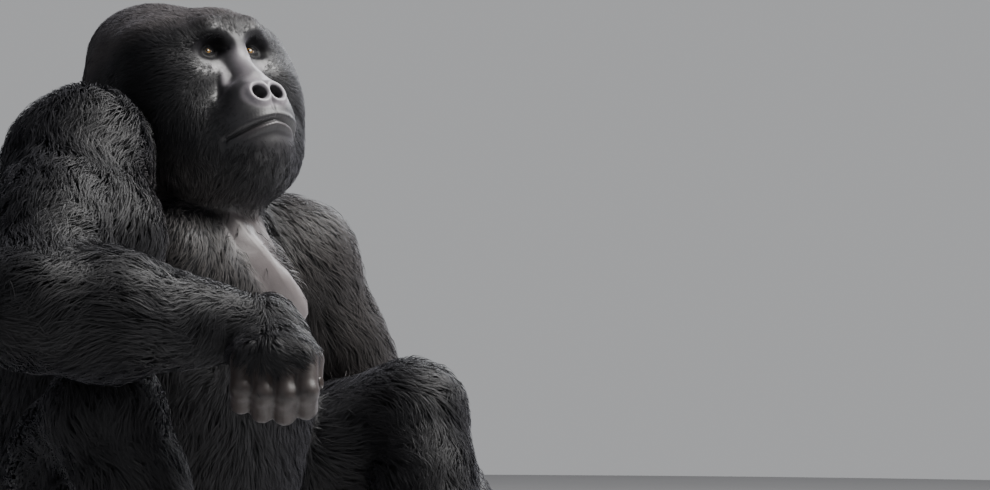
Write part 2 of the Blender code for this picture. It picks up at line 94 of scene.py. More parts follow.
LAST = {}                                # the end of each finger and toe: from, to, radius, back of it, nail length
FORMS = []                               # every swelling of the body, by the part it belongs to
def ell(part, c, r, axes=LEVEL, blend=0.03, coat=0.0, **extra):
    axes = right_handed(axes)
    FORMS.append(dict(part=part, kind='ell', c=np.asarray(c, float), r=np.asarray(r, float), axes=np.asarray(axes, float), blend=blend, coat=(coat, coat), **extra))
def cap(part, a, ra, b, rb, blend=0.03, coat=0.0, **extra):
    coat = coat if isinstance(coat, tuple) else (coat, coat)
    FORMS.append(dict(part=part, kind='cap', a=np.asarray(a, float), b=np.asarray(b, float), ra=ra, rb=rb, blend=blend, coat=coat, **extra))
def head_ell(c, r, blend=0.02, coat=0.0): ell('head', in_head(*c), r, HEAD_AXES, blend, coat)
def head_cap(a, ra, b, rb, blend=0.015, coat=0.0): cap('head', in_head(*a), ra, in_head(*b), rb, blend, coat)

def trunk():
    lean, slope = axes_along((0.0, -0.30, 0.95)), axes_along((0.0, 0.45, 0.90))
    ell('trunk', (0, 0.000, 0.175), (0.222, 0.185, 0.180), blend=0.05, coat=0.022)
    for s in (-1, 1):
        ell('trunk', (s*0.092, 0.020, 0.118), (0.112, 0.128, 0.126), blend=0.04, coat=0.016)
    ell('trunk', (0, -0.135, 0.245), (0.242, 0.230, 0.185), blend=0.06, coat=0.014)
    ell('trunk', (0, -0.155, 0.370), (0.248, 0.232, 0.200), blend=0.06, coat=0.014)
    ell('trunk', (0, -0.022, 0.400), (0.212, 0.170, 0.255), blend=0.06, coat=0.022)        # small of the back
    ell('trunk', (0, -0.105, 0.520), (0.205, 0.195, 0.220), lean, 0.06, 0.022)
    ell('trunk', (0, -0.062, 0.610), (0.220, 0.156, 0.158), lean, 0.06, 0.022)
    ell('trunk', (-0.005, -0.225, 0.530), (0.148, 0.150, 0.175), slope, 0.05, 0.008)
    ell('trunk', (0.066, -0.288, 0.498), (0.078, 0.082, 0.082), slope, 0.03, 0.004)
    ell('trunk', (-0.095, -0.270, 0.560), (0.090, 0.092, 0.105), slope, 0.04, 0.008)
    cap('trunk', (-0.012, -0.302, 0.634), 0.018, (0.012, -0.336, 0.580), 0.020, 0.016, 0.001)     # edge of the left breast
    cap('trunk', (0.012, -0.336, 0.580), 0.020, (0.052, -0.350, 0.536), 0.022, 0.016, 0.001)
    cap('trunk', (0.052, -0.350, 0.536), 0.022, (0.092, -0.347, 0.497), 0.024, 0.018, 0.001)
    cap('trunk', vec(*SHOULDER[-1]) + (0.05, 0.05, -0.02), 0.105, (-0.02, -0.09, 0.70), 0.130, 0.05, 0.022)
    cap('trunk', vec(*SHOULDER[1]) + (-0.04, 0.04, 0.0), 0.095, (0.02, -0.09, 0.68), 0.125, 0.05, 0.022)

def neck():
    cap('neck', (0, -0.08, 0.69), 0.138, in_head(0, -0.055, -0.02), 0.120, 0.06, 0.015)
    cap('neck', (0, -0.062, 0.690), 0.146, in_head(0, -0.088, 0.035), 0.099, 0.06, 0.015)   # hump of the nape
    cap('neck', (0, -0.200, 0.675), 0.085, in_head(0, 0.02, -0.12), 0.085, 0.05, 0.010)

def head():
    head_ell((0, -0.070, 0.068), (0.097, 0.100, 0.095), 0.05, 0.011)       # crest and back of the skull
    head_ell((0, -0.106, 0.108), (0.068, 0.077, 0.069), 0.05, 0.012)       # peak of the crest
    head_ell((0, 0.005, 0.034), (0.105, 0.118, 0.072), 0.05, 0.008)
    head_cap((0, -0.035, 0.075), 0.064, (0, 0.075, 0.034), 0.050, 0.05, 0.007)     # crown, sloping to the brow
    head_ell((0, 0.045, 0.035), (0.088, 0.083, 0.051), 0.05, 0.006)        # forehead
    head_ell((0, -0.078, -0.008), (0.119, 0.083, 0.112), 0.05, 0.014)      # nape
    for s in (-1, 1):
        head_ell((s*0.107, 0.036, -0.012), (0.045, 0.065, 0.098), 0.04, 0.012)     # ruff of the cheek
        head_ell((s*0.060, -0.032, 0.054), (0.062, 0.082, 0.068), 0.05, 0.009)     # side of the skull
        head_ell((s*0.074, 0.034, 0.000), (0.062, 0.078, 0.088), 0.04, 0.007)      # temple
        head_ell((s*0.083, 0.030, -0.062), (0.060, 0.082, 0.092), 0.04, 0.008)     # cheek
        head_ell((s*0.062, 0.045, -0.132), (0.056, 0.070, 0.058), 0.04, 0.007)     # jaw
        head_cap((s*0.079, 0.088, 0.034), 0.018, (s*0.040, 0.112, 0.049), 0.021, 0.02, 0.001)   # brow bar
        head_cap((s*0.040, 0.112, 0.049), 0.021, (0, 0.114, 0.047), 0.018, 0.012, 0.001)
        head_ell((s*0.068, 0.088, -0.022), (0.030, 0.026, 0.022), 0.03, 0.001)     # cheekbone
        head_ell((s*0.031, 0.107, -0.036), (0.017, 0.018, 0.024), 0.02, 0.001)     # beside the bridge
        head_ell((s*0.0235, 0.138, -0.068), (0.0225, 0.021, 0.0215), 0.012)         # wing of the nose
    head_ell((0, 0.084, -0.100), (0.074, 0.074, 0.060), 0.035, 0.001)      # muzzle
    head_ell((0, 0.121, -0.108), (0.062, 0.045, 0.032), 0.03, 0.001)       # upper lip
    head_ell((0, 0.103, -0.152), (0.055, 0.050, 0.031), 0.025, 0.002)      # chin
    head_ell((0, 0.050, -0.160), (0.078, 0.080, 0.058), 0.04, 0.008)       # beard
    head_cap((0, 0.104, 0.030), 0.014, (0, 0.134, -0.042), 0.021, 0.02)    # bridge of the nose
    head_ell((0, 0.148, -0.070), (0.012, 0.015, 0.020), 0.012)             # tip of the nose

def arm(s):
    p = 'arm_R' if s < 0 else 'arm_L'
    sh, el, wr, r0 = vec(*SHOULDER[s]), vec(*ELBOW[s]), vec(*WRIST[s]), DELTOID[s]
    ell(p, sh, (r0, r0, r0*1.03), blend=0.04, coat=0.022)
    cap(p, sh, 0.100, el, 0.084, 0.04, (0.022, 0.026))
    ell(p, sh + (el - sh)*0.45, (0.096, 0.096, 0.140), axes_along(el - sh), 0.03, 0.022)
    if s < 0:                            # the shoulder hunched toward the neck, and the breast fold carried forward
        ell(p, sh + vec(*TO_SIDE)*0.022 + (0, 0, 0.037), (0.084, 0.084, 0.089), blend=0.03, coat=0.022)
        ell(p, sh + vec(*TO_SIDE)*0.053 + vec(*TO_FRONT)*0.075 - (0, 0, 0.112), (0.088, 0.088, 0.098), blend=0.05, coat=0.020)
    m = el + (wr - el)*0.36
    cap(p, el, 0.086, m, 0.097, 0.03, (0.026, 0.030))
    cap(p, m, 0.097, wr, 0.048, 0.03, (0.030, 0.010), zone='both')

def hand(s):
    p = 'arm_R' if s < 0 else 'arm_L'
    wr = vec(*WRIST[s])
    if s < 0:                            # hangs over the shin, back upwards
        mc = wr + vec(*TO_SIDE)*0.013 + vec(*TO_FRONT)*0.082 - (0, 0, 0.042)
        side, d1, d2 = vec(*TO_SIDE), unit(vec(*TO_FRONT)*0.40 - (0, 0, 1.0)), unit(-vec(*TO_FRONT)*0.80 - (0, 0, 0.70))
    else:                                # knuckles on the floor
        mc = wr + (-0.012, -0.080, -0.036)
        side, d1, d2 = unit((-0.98, 0.12, 0.0)), unit((0, -0.66, -0.72)), unit((0, 0.96, -0.03))
    cap(p, wr, 0.046, mc, 0.037, 0.03, (0.013, 0.007), zone='both')
    cap(p, wr + side*0.010, 0.040, mc + side*0.036, 0.029, 0.02, (0.013, 0.006), zone='both')
    cap(p, wr - side*0.010, 0.040, mc - side*0.036, 0.028, 0.02, (0.013, 0.006), zone='both')
    d3 = unit(d2 - d1*0.9)
    for o, l1, l2, l3, r in ((0.045, 0.048, 0.036, 0.022, 0.0170), (0.0155, 0.053, 0.040, 0.024, 0.0178), (-0.0150, 0.051, 0.038, 0.023, 0.0172), (-0.044, 0.043, 0.032, 0.020, 0.0158)):
        p0 = mc + side*o + d1*0.004
        p1 = p0 + d1*l1 + side*o*0.05
        p2 = p1 + d2*l2
        p3 = p2 + d3*l3
        cap(p, p0, r*1.20, p1, r*1.03, 0.008, 0.0008, zone='end')
        cap(p, p1, r*1.06, p2, r*0.98, 0.006, 0.0005, zone='end')
        cap(p, p2, r*0.98, p3, r*0.86, 0.005, 0.0005, zone='end')
        LAST.setdefault(('hand', s), []).append((p2, p3, r*0.86, d1, 0.0150))
    t0 = wr + (mc - wr)*0.30 + side*0.032
    t1 = t0 + side*0.030 + d1*0.026 + unit(mc - wr)*0.020
    t2 = t1 + side*0.002 + d1*0.036
    cap(p, t0, 0.022, t1, 0.018, 0.015, 0.001, zone='end')
    cap(p, t1, 0.018, t2, 0.0145, 0.006, 0.0005, zone='end')
    LAST[('hand', s)].append((t1, t2, 0.0145, side, 0.0150))

def leg(s):
    p = 'leg_R' if s < 0 else 'leg_L'
    hp, kn, an = vec(*HIP[s]), vec(*KNEE[s]), vec(*ANKLE[s])
    mid = hp + (kn - hp)*0.55
    cap(p, hp, 0.128, mid, 0.112, 0.04, 0.018)
    cap(p, mid, 0.112, kn, 0.086, 0.04, 0.020)
    m = kn + (an - kn)*0.38 + (0, 0.012, 0)
    cap(p, kn, 0.084, m, 0.082, 0.03, 0.022)
    cap(p, m, 0.082, an, 0.050, 0.03, (0.022, 0.008), zone='both')

def foot(s):
    p = 'leg_R' if s < 0 else 'leg_L'
    an = vec(*ANKLE[s])
    heel = an + (-s*0.010, 0.045, -0.050)
    ball = an + (s*0.030, -0.125, -0.056)
    cap(p, an, 0.048, heel, 0.042, 0.03, (0.006, 0.001), zone='both')
    cap(p, heel, 0.042, ball, 0.038, 0.03, (0.003, 0.003), zone='end')
    cap(p, heel, 0.038, ball + (-s*0.045, 0.02, 0), 0.034, 0.03, (0.001, 0.002), zone='end')
    cap(p, ball + (s*0.03, 0.01, 0), 0.030, ball + (-s*0.045, 0.0, 0), 0.032, 0.025, 0.002, zone='end')
    for ox, ln, r in ((-0.030, 0.082, 0.0175), (-0.002, 0.086, 0.0170), (0.024, 0.078, 0.0162), (0.048, 0.066, 0.0155)):
        b0 = ball + (s*ox, 0.0, 0.0)
        b1 = b0 + (s*0.008, -ln*0.62, 0.004)
        b2 = b0 + (s*0.012, -ln, -0.014)
        cap(p, b0, r, b1, r, 0.008, 0.0005, zone='end')
        cap(p, b1, r, b2, r*0.92, 0.008, 0.0005, zone='end')
        LAST.setdefault(('foot', s), []).append((b1, b2, r*0.92, (0, 0, 1), 0.0140))
    t0 = heel + (-s*0.030, -0.095, 0.0)
    t1 = t0 + (-s*0.042, -0.050, 0.0)
    t2 = t1 + (-s*0.020, -0.045, -0.008)
    cap(p, t0, 0.027, t1, 0.023, 0.015, 0.0005, zone='end')
    cap(p, t1, 0.023, t2, 0.018, 0.010, 0.0005, zone='end')
    LAST[('foot', s)].append((t1, t2, 0.018, (0, 0, 1), 0.0180))
trunk()
neck()
head()
for side in (-1, 1):
    arm(side)
    hand(side)
    leg(side)
    foot(side)

# where the CAD put the body: its eyes give the shift from the joint table
found = [(Vector(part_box('eye_' + t)[0]) + Vector(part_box('eye_' + t)[1])) / 2 for t in 'RL']
SETTLE = np.array((found[0] + found[1]) / 2) - in_head(0, EYE[1], EYE[2])
SETTLE[2] = 0.0

# ---------------------------------------------------------------- distances
def smin(a, b, k):
    h = np.maximum(k - np.abs(a - b), 0.0) / k
    return np.minimum(a, b) - h * h * k * 0.25
def smax(a, b, k):
    return -smin(-a, -b, k)
def ell_d(q, r):
    r = np.asarray(r, float)
    k0 = np.linalg.norm(q / r, axis=1)
    k1 = np.linalg.norm(q / (r * r), axis=1)
    return np.where(k1 > 1e-6, k0 * (k0 - 1) / np.maximum(k1, 1e-6), -r.min())
def bar_d(P, a, b, ra, rb):
    a, b = np.asarray(a, float), np.asarray(b, float)
    ab = b - a
    t = np.clip(((P - a) @ ab) / max(float(ab @ ab), 1e-12), 0, 1)
    return np.linalg.norm(P - a - t[:, None] * ab, axis=1) - (ra + (rb - ra) * t)
def form_d(P, F, flesh):
    if F['kind'] == 'ell':
        return ell_d((P - F['c']) @ F['axes'], F['r'] - (F['coat'][0] if flesh else 0.0))
    return bar_d(P, F['a'], F['b'], F['ra'] - (F['coat'][0] if flesh else 0), F['rb'] - (F['coat'][1] if flesh else 0))
for F in FORMS:
    if F['kind'] == 'ell':
        F['mid'], F['reach'] = F['c'], float(max(F['r']))
    else:
        F['mid'], F['reach'] = (F['a'] + F['b']) / 2, float(np.linalg.norm(F['b'] - F['a']) / 2 + max(F['ra'], F['rb']))
PARTS = ['trunk', 'neck', 'head', 'arm_R', 'arm_L', 'leg_R', 'leg_L']
def parts_d(P, flesh=True, margin=0.06):
    P = np.asarray(P, float)
    out = {}
    for g in PARTS:
        f = np.full(len(P), 1.0)
        for F in FORMS:
            if F['part'] != g:
                continue
            m = np.abs(P[:, 0] - F['mid'][0]) < F['reach'] + margin + F['blend']
            m &= np.abs(P[:, 1] - F['mid'][1]) < F['reach'] + margin + F['blend']
            m &= np.abs(P[:, 2] - F['mid'][2]) < F['reach'] + margin + F['blend']
            if m.any():
                f[m] = smin(f[m], form_d(P[m], F, flesh), F['blend'])
        out[g] = f
    return out
def near(P, c, r0, r1):
    t = np.clip((r1 - np.linalg.norm(P - np.asarray(c), axis=1)) / (r1 - r0), 0, 1)
    return t * t * (3 - 2 * t)
def joined(P, G):
    f = G['trunk']
    for g, c in (('arm_R', SHOULDER[-1]), ('arm_L', SHOULDER[1])):
        f = smin(f, G[g], 0.010 + 0.045 * near(P, c, 0.10, 0.22))
    for g, c in (('leg_R', HIP[-1]), ('leg_L', HIP[1])):
        f = smin(f, G[g], 0.010 + 0.045 * near(P, c, 0.12, 0.26))
    f = smin(f, G['neck'], 0.03)
    return smin(f, G['head'], 0.025)
def body_d(P, flesh=True):
    """Signed distance to the whole body: its flesh, or the outside of its coat."""
    return smax(joined(P, parts_d(P, flesh)), -P[:, 2], 0.004)

# ---------------------------------------------------------------- smooth noise made of waves
WAVES = np.random.default_rng(11)
def wave_noise(scale, n=9):
    k = WAVES.normal(size=(n, 3))
    k = k / np.linalg.norm(k, axis=1)[:, None] * (2 * math.pi / scale) * WAVES.uniform(0.6, 1.6, (n, 1))
    ph = WAVES.uniform(0, 2 * math.pi, n)
    def at(P):
        return np.sin(P @ k.T + ph).sum(1) / math.sqrt(n / 2)
    return at
broad, middling, small_waves, tiny_waves = wave_noise(0.22), wave_noise(0.085), wave_noise(0.036), wave_noise(0.014)
turn_broad, turn_small = wave_noise(0.12), wave_noise(0.035)

# ---------------------------------------------------------------- the face
def to_head(P):
    return (P - vec(*HEAD_AT)) @ HEAD_AXES
def line_d(q, pts):
    """Distance from each point to a polyline, and how far along it (0 to 1) the nearest point is."""
    pts = np.asarray(pts, float)
    best, where = np.full(len(q), 9.0), np.zeros(len(q))
    n = len(pts) - 1
    for i in range(n):
        ab = pts[i + 1] - pts[i]
        t = np.clip(((q - pts[i]) @ ab) / max(float(ab @ ab), 1e-12), 0, 1)
        d = np.linalg.norm(q - pts[i] - t[:, None] * ab, axis=1)
        m = d < best
        best[m], where[m] = d[m], (i + t[m]) / n
    return best, where
def ridge(q, pts, height, width, ends=0.25):
    """A fold (height above 0) or a crease (below 0) along a line on the surface."""
    d, w = line_d(q, pts)
    fade = np.clip(np.minimum(w, 1 - w) / max(ends, 1e-3), 0, 1)
    return height * np.exp(-(d / width) ** 2) * (0.25 + 0.75 * fade)

# lines in the head's own axes (side, forward, up), drawn for one side and mirrored
LIP_LINE = lambda ax: -0.1200 - 0.0090 * (ax / 0.05) ** 1.15
FACE_FOLDS = [
    # points                                                                        height   width
    ([(0.080, 0.098, 0.006), (0.070, 0.108, -0.006), (0.054, 0.112, -0.013), (0.036, 0.110, -0.006), (0.028, 0.106, 0.006)], -0.0030, 0.0042),
    ([(0.066, 0.110, 0.005), (0.054, 0.113, -0.001), (0.040, 0.110, 0.001), (0.031, 0.106, 0.010)], 0.0024, 0.0040),
    ([(0.062, 0.104, 0.000), (0.046, 0.108, -0.005), (0.033, 0.104, 0.003)], -0.0012, 0.0020),
    ([(0.029, 0.108, -0.004), (0.034, 0.112, -0.024), (0.042, 0.120, -0.044)], 0.0034, 0.0060),      # from the eye's corner to the nose's wing
    ([(0.018, 0.116, -0.004), (0.021, 0.120, -0.020), (0.025, 0.128, -0.036)], -0.0022, 0.0042),     # beside the bridge
    ([(0.044, 0.112, -0.012), (0.048, 0.116, -0.034), (0.056, 0.118, -0.060), (0.063, 0.110, -0.088)], -0.0020, 0.0060),   # cheek fold
    ([(0.052, 0.118, -0.046), (0.062, 0.116, -0.074), (0.068, 0.104, -0.104)], 0.0006, 0.0080),
    ([(0.060, 0.122, -0.118), (0.066, 0.112, -0.136), (0.064, 0.104, -0.152)], -0.0026, 0.0055),     # corner of the mouth
    ([(0.0, 0.128, 0.016), (0.010, 0.126, 0.012), (0.022, 0.122, 0.020)], -0.0022, 0.0030),
    ([(0.0, 0.124, 0.028), (0.012, 0.122, 0.026)], -0.0018, 0.0026),
    ([(0.086, 0.090, 0.060), (0.060, 0.112, 0.073), (0.030, 0.122, 0.076), (0.0, 0.122, 0.071)], -0.0020, 0.0050),
    ([(0.092, 0.088, 0.020), (0.098, 0.078, 0.008), (0.100, 0.070, -0.012)], -0.0020, 0.0050),
    ([(0.066, 0.100, 0.030), (0.055, 0.103, 0.0345), (0.044, 0.104, 0.0350), (0.032, 0.102, 0.031)], -0.0016, 0.0022),
]
def nostril_d(q2):
    tilt = math.radians(14)
    x, u = q2[:, 0] - 0.0165, q2[:, 2] + 0.0745
    return ell_d(np.stack([x * math.cos(tilt) + u * math.sin(tilt), q2[:, 1] - 0.170, u * math.cos(tilt) - x * math.sin(tilt)], 1), (0.0124, 0.028, 0.0122))
def lids(q2, g):
    """Lids close over the eyeball, and part along an almond."""
    e = q2 - vec(*EYE)
    d = np.linalg.norm(e, axis=1)
    g = smin(g, d - (EYE_R + 0.0021), 0.007)
    x, u = e[:, 0] + 0.0004, e[:, 2] - 0.0006
    t = np.clip(np.abs(x) / 0.0134, 0, 1.3)
    upper = 0.0064 * (1 - t ** 2.2) - 0.0006 * x / 0.0134
    lower = -0.0050 * (1 - t ** 2.4)
    gape = np.maximum(u - upper, lower - u)
    front = np.where(e[:, 1] > 0, 0.0, 0.01)
    opening = np.maximum(np.maximum(gape, (EYE_R - 0.0008) - d), front)
    return smax(g, -opening, 0.0009)
def face_d(P, f):
    Q = to_head(P)
    m = (np.abs(Q[:, 0]) < 0.16) & (Q[:, 1] > -0.04) & (np.abs(Q[:, 2]) < 0.22)
    if not m.any():
        return f
    q, g = Q[m], f[m].copy()
    ax = np.abs(q[:, 0])
    q2 = np.stack([ax, q[:, 1], q[:, 2]], 1)
    g = smax(g, -ell_d(q2 - vec(0.0430, 0.1345, 0.0175), (0.0260, 0.0285, 0.0170)), 0.012)
    for pts, h, w in FACE_FOLDS:
        g = g - ridge(q2, pts, h, w)
    # nostrils, with a raised rim
    hole = nostril_d(q2)
    ring = np.exp(-((hole - 0.0048) / 0.0052) ** 2)
    g = g - 0.0042 * ring * np.clip((q2[:, 1] - 0.125) / 0.012, 0, 1)
    g = smax(g, -hole, 0.002)
    # lips
    zc = LIP_LINE(ax)
    w = np.clip((0.071 - ax) / 0.012, 0, 1) * np.clip((q[:, 1] - 0.07) / 0.02, 0, 1)
    u = q[:, 2] - zc
    g = g + w * 0.0027 * np.exp(-(u / 0.0028) ** 2)
    g = g - w * 0.0024 * np.exp(-((u - 0.0075) / 0.0060) ** 2)
    g = g - w * 0.0034 * np.exp(-((u + 0.0080) / 0.0055) ** 2) * np.clip(1.15 - (ax / 0.050) ** 2, 0, 1)
    g = g + w * 0.0016 * np.exp(-(ax / 0.0030) ** 2) * np.exp(-((u - 0.018) / 0.012) ** 2)      # groove under the nose
    # fine upright wrinkles over the lips, and creases on the muzzle
    lipzone = np.exp(-((u - 0.001) / 0.018) ** 2) * w
    g = g + 0.00006 * lipzone * np.sin(q[:, 0] * 2 * math.pi / 0.0052 + 3 * np.sin(q[:, 2] * 90))
    g = lids(q2, g)
    # ears: a cupped disc with a rolled edge
    for s in (-1, 1):
        a = math.radians(-28) * s
        E = np.array([[math.cos(a), -math.sin(a), 0], [math.sin(a), math.cos(a), 0], [0, 0, 1]])
        c = vec(s * (EAR[0] - 0.005), EAR[1], EAR[2])
        qe = (q - c)
        k = np.linalg.norm(qe, axis=1) < 0.06
        if not k.any():
            continue
        ear = ell_d(qe[k] @ E, (0.0150, 0.0180, 0.0260))
        bowl = ell_d((q[k] - c - vec(s * 0.013, 0.010, 0.0)), (0.0105, 0.0105, 0.0165))
        ear = smax(ear, -bowl, 0.003)
        g[k] = smin(g[k], ear, 0.004)
    f = f.copy()
    f[m] = g
    return f

# folds of the breast and arms, as lines on the skin in table coordinates
BODY_FOLDS = [
    ([(-0.022, -0.322, 0.646), (-0.006, -0.344, 0.610), (0.010, -0.362, 0.582), (0.046, -0.374, 0.538), (0.094, -0.370, 0.499)], 0.009, 0.012),
    ([(-0.036, -0.345, 0.668), (-0.014, -0.345, 0.664), (0.030, -0.325, 0.650), (0.062, -0.310, 0.625)], 0.009, 0.009),
    ([(-0.026, -0.335, 0.658), (0.000, -0.340, 0.642), (0.030, -0.340, 0.622), (0.060, -0.335, 0.592)], -0.007, 0.008),
    ([(0.030, -0.335, 0.640), (0.045, -0.335, 0.605), (0.080, -0.335, 0.565), (0.120, -0.320, 0.520)], -0.010, 0.014),
    ([(-0.015, -0.330, 0.676), (0.030, -0.318, 0.662), (0.080, -0.290, 0.640), (0.130, -0.262, 0.610)], 0.006, 0.011),
    ([(-0.040, -0.330, 0.640), (-0.030, -0.348, 0.600), (-0.010, -0.362, 0.560), (0.020, -0.372, 0.520)], -0.0050, 0.010),
    ([(0.060, -0.300, 0.672), (0.100, -0.275, 0.650), (0.150, -0.245, 0.625)], -0.006, 0.010),
]
def skin_d(P):
    """Signed distance to the bare skin with its folds."""
    f = body_d(P, True)
    m = (np.abs(P[:, 0] - 0.04) < 0.20) & (P[:, 1] < -0.18) & (P[:, 2] > 0.44) & (P[:, 2] < 0.72) & (np.abs(f) < 0.04)
    if m.any():
        q, g = P[m], f[m]
        for pts, h, w in BODY_FOLDS:
            g = g - ridge(q, pts, h, w)
        f = f.copy()
        f[m] = g
    return face_d(P, f)

# ---------------------------------------------------------------- the skin as a mesh
def grid_mesh(fn, lo, hi, h, block=8, bg=0.06):
    lo, hi = np.asarray(lo, float), np.asarray(hi, float)
    nb = np.ceil((hi - lo) / h / block).astype(int)
    F = np.full(nb * block, bg, np.float32)
    ix = np.indices(nb).reshape(3, -1).T
    cen = lo + (ix * block + (block - 1) / 2) * h
    fc = fn(cen)
    rad = math.sqrt(3) * block * h / 2
    near_it = np.abs(fc) < rad * 1.15 + 0.016
    off = np.indices((block,) * 3).reshape(3, -1).T
    for b in ix[(fc < 0) & ~near_it]:
        F[b[0]*block:(b[0]+1)*block, b[1]*block:(b[1]+1)*block, b[2]*block:(b[2]+1)*block] = -bg
    bs = ix[near_it]
    for i in range(0, len(bs), 400):
        I = (bs[i:i+400, None, :] * block + off[None]).reshape(-1, 3)
        F[I[:, 0], I[:, 1], I[:, 2]] = fn(lo + I * h)
    g = openvdb.FloatGrid(background=bg)
    g.copyFromArray(F)
    p, t, q = g.convertToPolygons(isovalue=0.0, adaptivity=0.0)
    return F, lo + p * h, q[:, ::-1]

def mesh_object(name, verts, faces, smooth=True):
    me = bpy.data.meshes.new(name)
    verts, faces = np.ascontiguousarray(verts, np.float32), np.ascontiguousarray(faces, np.int32)
    me.vertices.add(len(verts))
    me.vertices.foreach_set('co', verts.ravel())
    k = faces.shape[1]
    me.loops.add(len(faces) * k)
    me.loops.foreach_set('vertex_index', faces.ravel())
    me.polygons.add(len(faces))
    me.polygons.foreach_set('loop_start', np.arange(0, len(faces) * k, k, dtype=np.int32))
    if smooth:
        me.polygons.foreach_set('use_smooth', np.ones(len(faces), bool))
    me.update(calc_edges=True)
    me.validate()
    o = bpy.data.objects.new(name, me)
    bpy.context.scene.collection.objects.link(o)
    return o
def coords(me):
    a = np.zeros(len(me.vertices) * 3, np.float32)
    me.vertices.foreach_get('co', a)
    return a.reshape(-1, 3).astype(float)
def set_coords(me, P):
    me.vertices.foreach_set('co', np.ascontiguousarray(P, np.float32).ravel())
    me.update()
def grad(fn, P, h):
    g = np.zeros_like(P)
    for a in range(3):
        d = np.zeros(3)
        d[a] = h
        g[:, a] = fn(P + d) - fn(P - d)
    return g / np.maximum(np.linalg.norm(g, axis=1), 1e-9)[:, None]
def onto(P, rounds=2, h=0.0008, most=0.004):
    """Moves points onto the skin."""
    for _ in range(rounds):
        f = skin_d(P)
        P = P - grad(skin_d, P, h) * np.clip(f, -most, most)[:, None]
    return P
def applied(o):
    dg = bpy.context.evaluated_depsgraph_get()
    me = bpy.data.meshes.new_from_object(o.evaluated_get(dg))
    old = o.data
    o.modifiers.clear()
    o.data = me
    bpy.data.meshes.remove(old)
    return o

LOW, HIGH = np.array((-0.66, -0.84, -0.05)), np.array((0.60, 0.24, 1.06))
STEP = 0.0060
FIELD, pts, quads = grid_mesh(skin_d, LOW, HIGH, STEP)
skin = mesh_object('skin', pts, quads)

def ends_d(P, parts=('arm', 'leg')):
    """Distance to the fingers, toes and soles."""
    d = np.full(len(P), 1.0)
    for F_ in FORMS:
        if F_.get('zone') == 'end' and F_['part'][:3] in parts:
            k = np.linalg.norm(P - F_['mid'], axis=1) < F_['reach'] + 0.03
            if k.any():
                d[k] = np.minimum(d[k], form_d(P[k], F_, True))
    return d
def region_of(P):
    """How much of the face, and how much of the hands and feet, each point is (0 to 1)."""
    Q = to_head(P)
    face = np.clip(1.0 - (np.linalg.norm((Q - vec(0, 0.115, -0.045)) / vec(0.092, 0.085, 0.135), axis=1) - 0.85) / 0.25, 0, 1)
    ends = 1.0 - np.clip((ends_d(P) + 0.001) / 0.012, 0, 1)
    for s in (-1, 1):
        ends = np.maximum(ends, near(Q, vec(s * EAR[0], EAR[1], EAR[2]), 0.034, 0.045))
    return face, ends

def refine(o, chosen):
    """Halves the edges whose two ends are chosen, and keeps triangles."""
    bm = bmesh.new()
    bm.from_mesh(o.data)
    bm.verts.ensure_lookup_table()
    bmesh.ops.subdivide_edges(bm, edges=[e for e in bm.edges if chosen[e.verts[0].index] and chosen[e.verts[1].index]], cuts=1, use_grid_fill=True)
    bmesh.ops.triangulate(bm, faces=[f for f in bm.faces if len(f.verts) > 3])
    bm.to_mesh(o.data)
    bm.free()
    o.data.update()

P0 = coords(skin.data)
face_w, end_w = region_of(P0)
group = skin.vertex_groups.new(name='plain')
plain = np.clip(1.0 - np.maximum(face_w, end_w * 0.9), 0, 1)
for lo_w, hi_w, w in ((-1, 0.25, 0.02), (0.25, 0.75, 0.5), (0.75, 2, 1.0)):
    ids = np.nonzero((plain > lo_w) & (plain <= hi_w))[0]
    group.add([int(i) for i in ids], w, 'REPLACE')
m = skin.modifiers.new('thin', 'DECIMATE')
m.ratio, m.vertex_group, m.use_collapse_triangulate = 0.135, 'plain', True
applied(skin)
skin.vertex_groups.clear()

# an unwrap of the skin, which the coat's own map follows
base = skin.copy()
base.data = skin.data.copy()
bpy.context.scene.collection.objects.link(base)
bpy.context.view_layer.objects.active = base
for o in bpy.context.selected_objects:
    o.select_set(False)
base.select_set(True)
bpy.ops.object.mode_set(mode='EDIT')
bpy.ops.mesh.select_all(action='SELECT')
bpy.ops.uv.smart_project(angle_limit=math.radians(66), island_margin=0.004)
bpy.ops.object.mode_set(mode='OBJECT')

# finer where the face and hands need it, and drawn onto the folds
def face_zone(P):
    Q = to_head(P)
    q2 = np.stack([np.abs(Q[:, 0]), Q[:, 1], Q[:, 2]], 1)
    eyes = np.linalg.norm((q2 - vec(0.044, 0.104, 0.016)) / vec(0.024, 0.03, 0.018), axis=1) < 1
    nose = np.linalg.norm((q2 - vec(0.012, 0.150, -0.072)) / vec(0.034, 0.045, 0.026), axis=1) < 1
    lips = (q2[:, 0] < 0.066) & (q2[:, 1] > 0.07) & (np.abs(Q[:, 2] - LIP_LINE(q2[:, 0]) + 0.001) < 0.011)
    return eyes, nose, lips
P = coords(skin.data)
fw, ew = region_of(P)
refine(skin, (fw > 0.3) | ((ew > 0.5) & ((ends_d(P, ('arm',)) < 0.004) | (P[:, 2] > 0.7))))
P = coords(skin.data)
fw, ew = region_of(P)
sel = (fw > 0.15) | (ew > 0.4)
P[sel] = onto(P[sel], 2)
set_coords(skin.data, P)
refine(skin, fw > 0.7)
P = coords(skin.data)
fw, ew = region_of(P)
P[fw > 0.3] = onto(P[fw > 0.3], 2)
set_coords(skin.data, P)
eyes, nose, lips = face_zone(P)
refine(skin, eyes | nose | lips)
P = coords(skin.data)
eyes, nose, lips = face_zone(P)
sel = eyes | nose | lips
P[sel] = onto(P[sel], 2, 0.0004)
set_coords(skin.data, P)
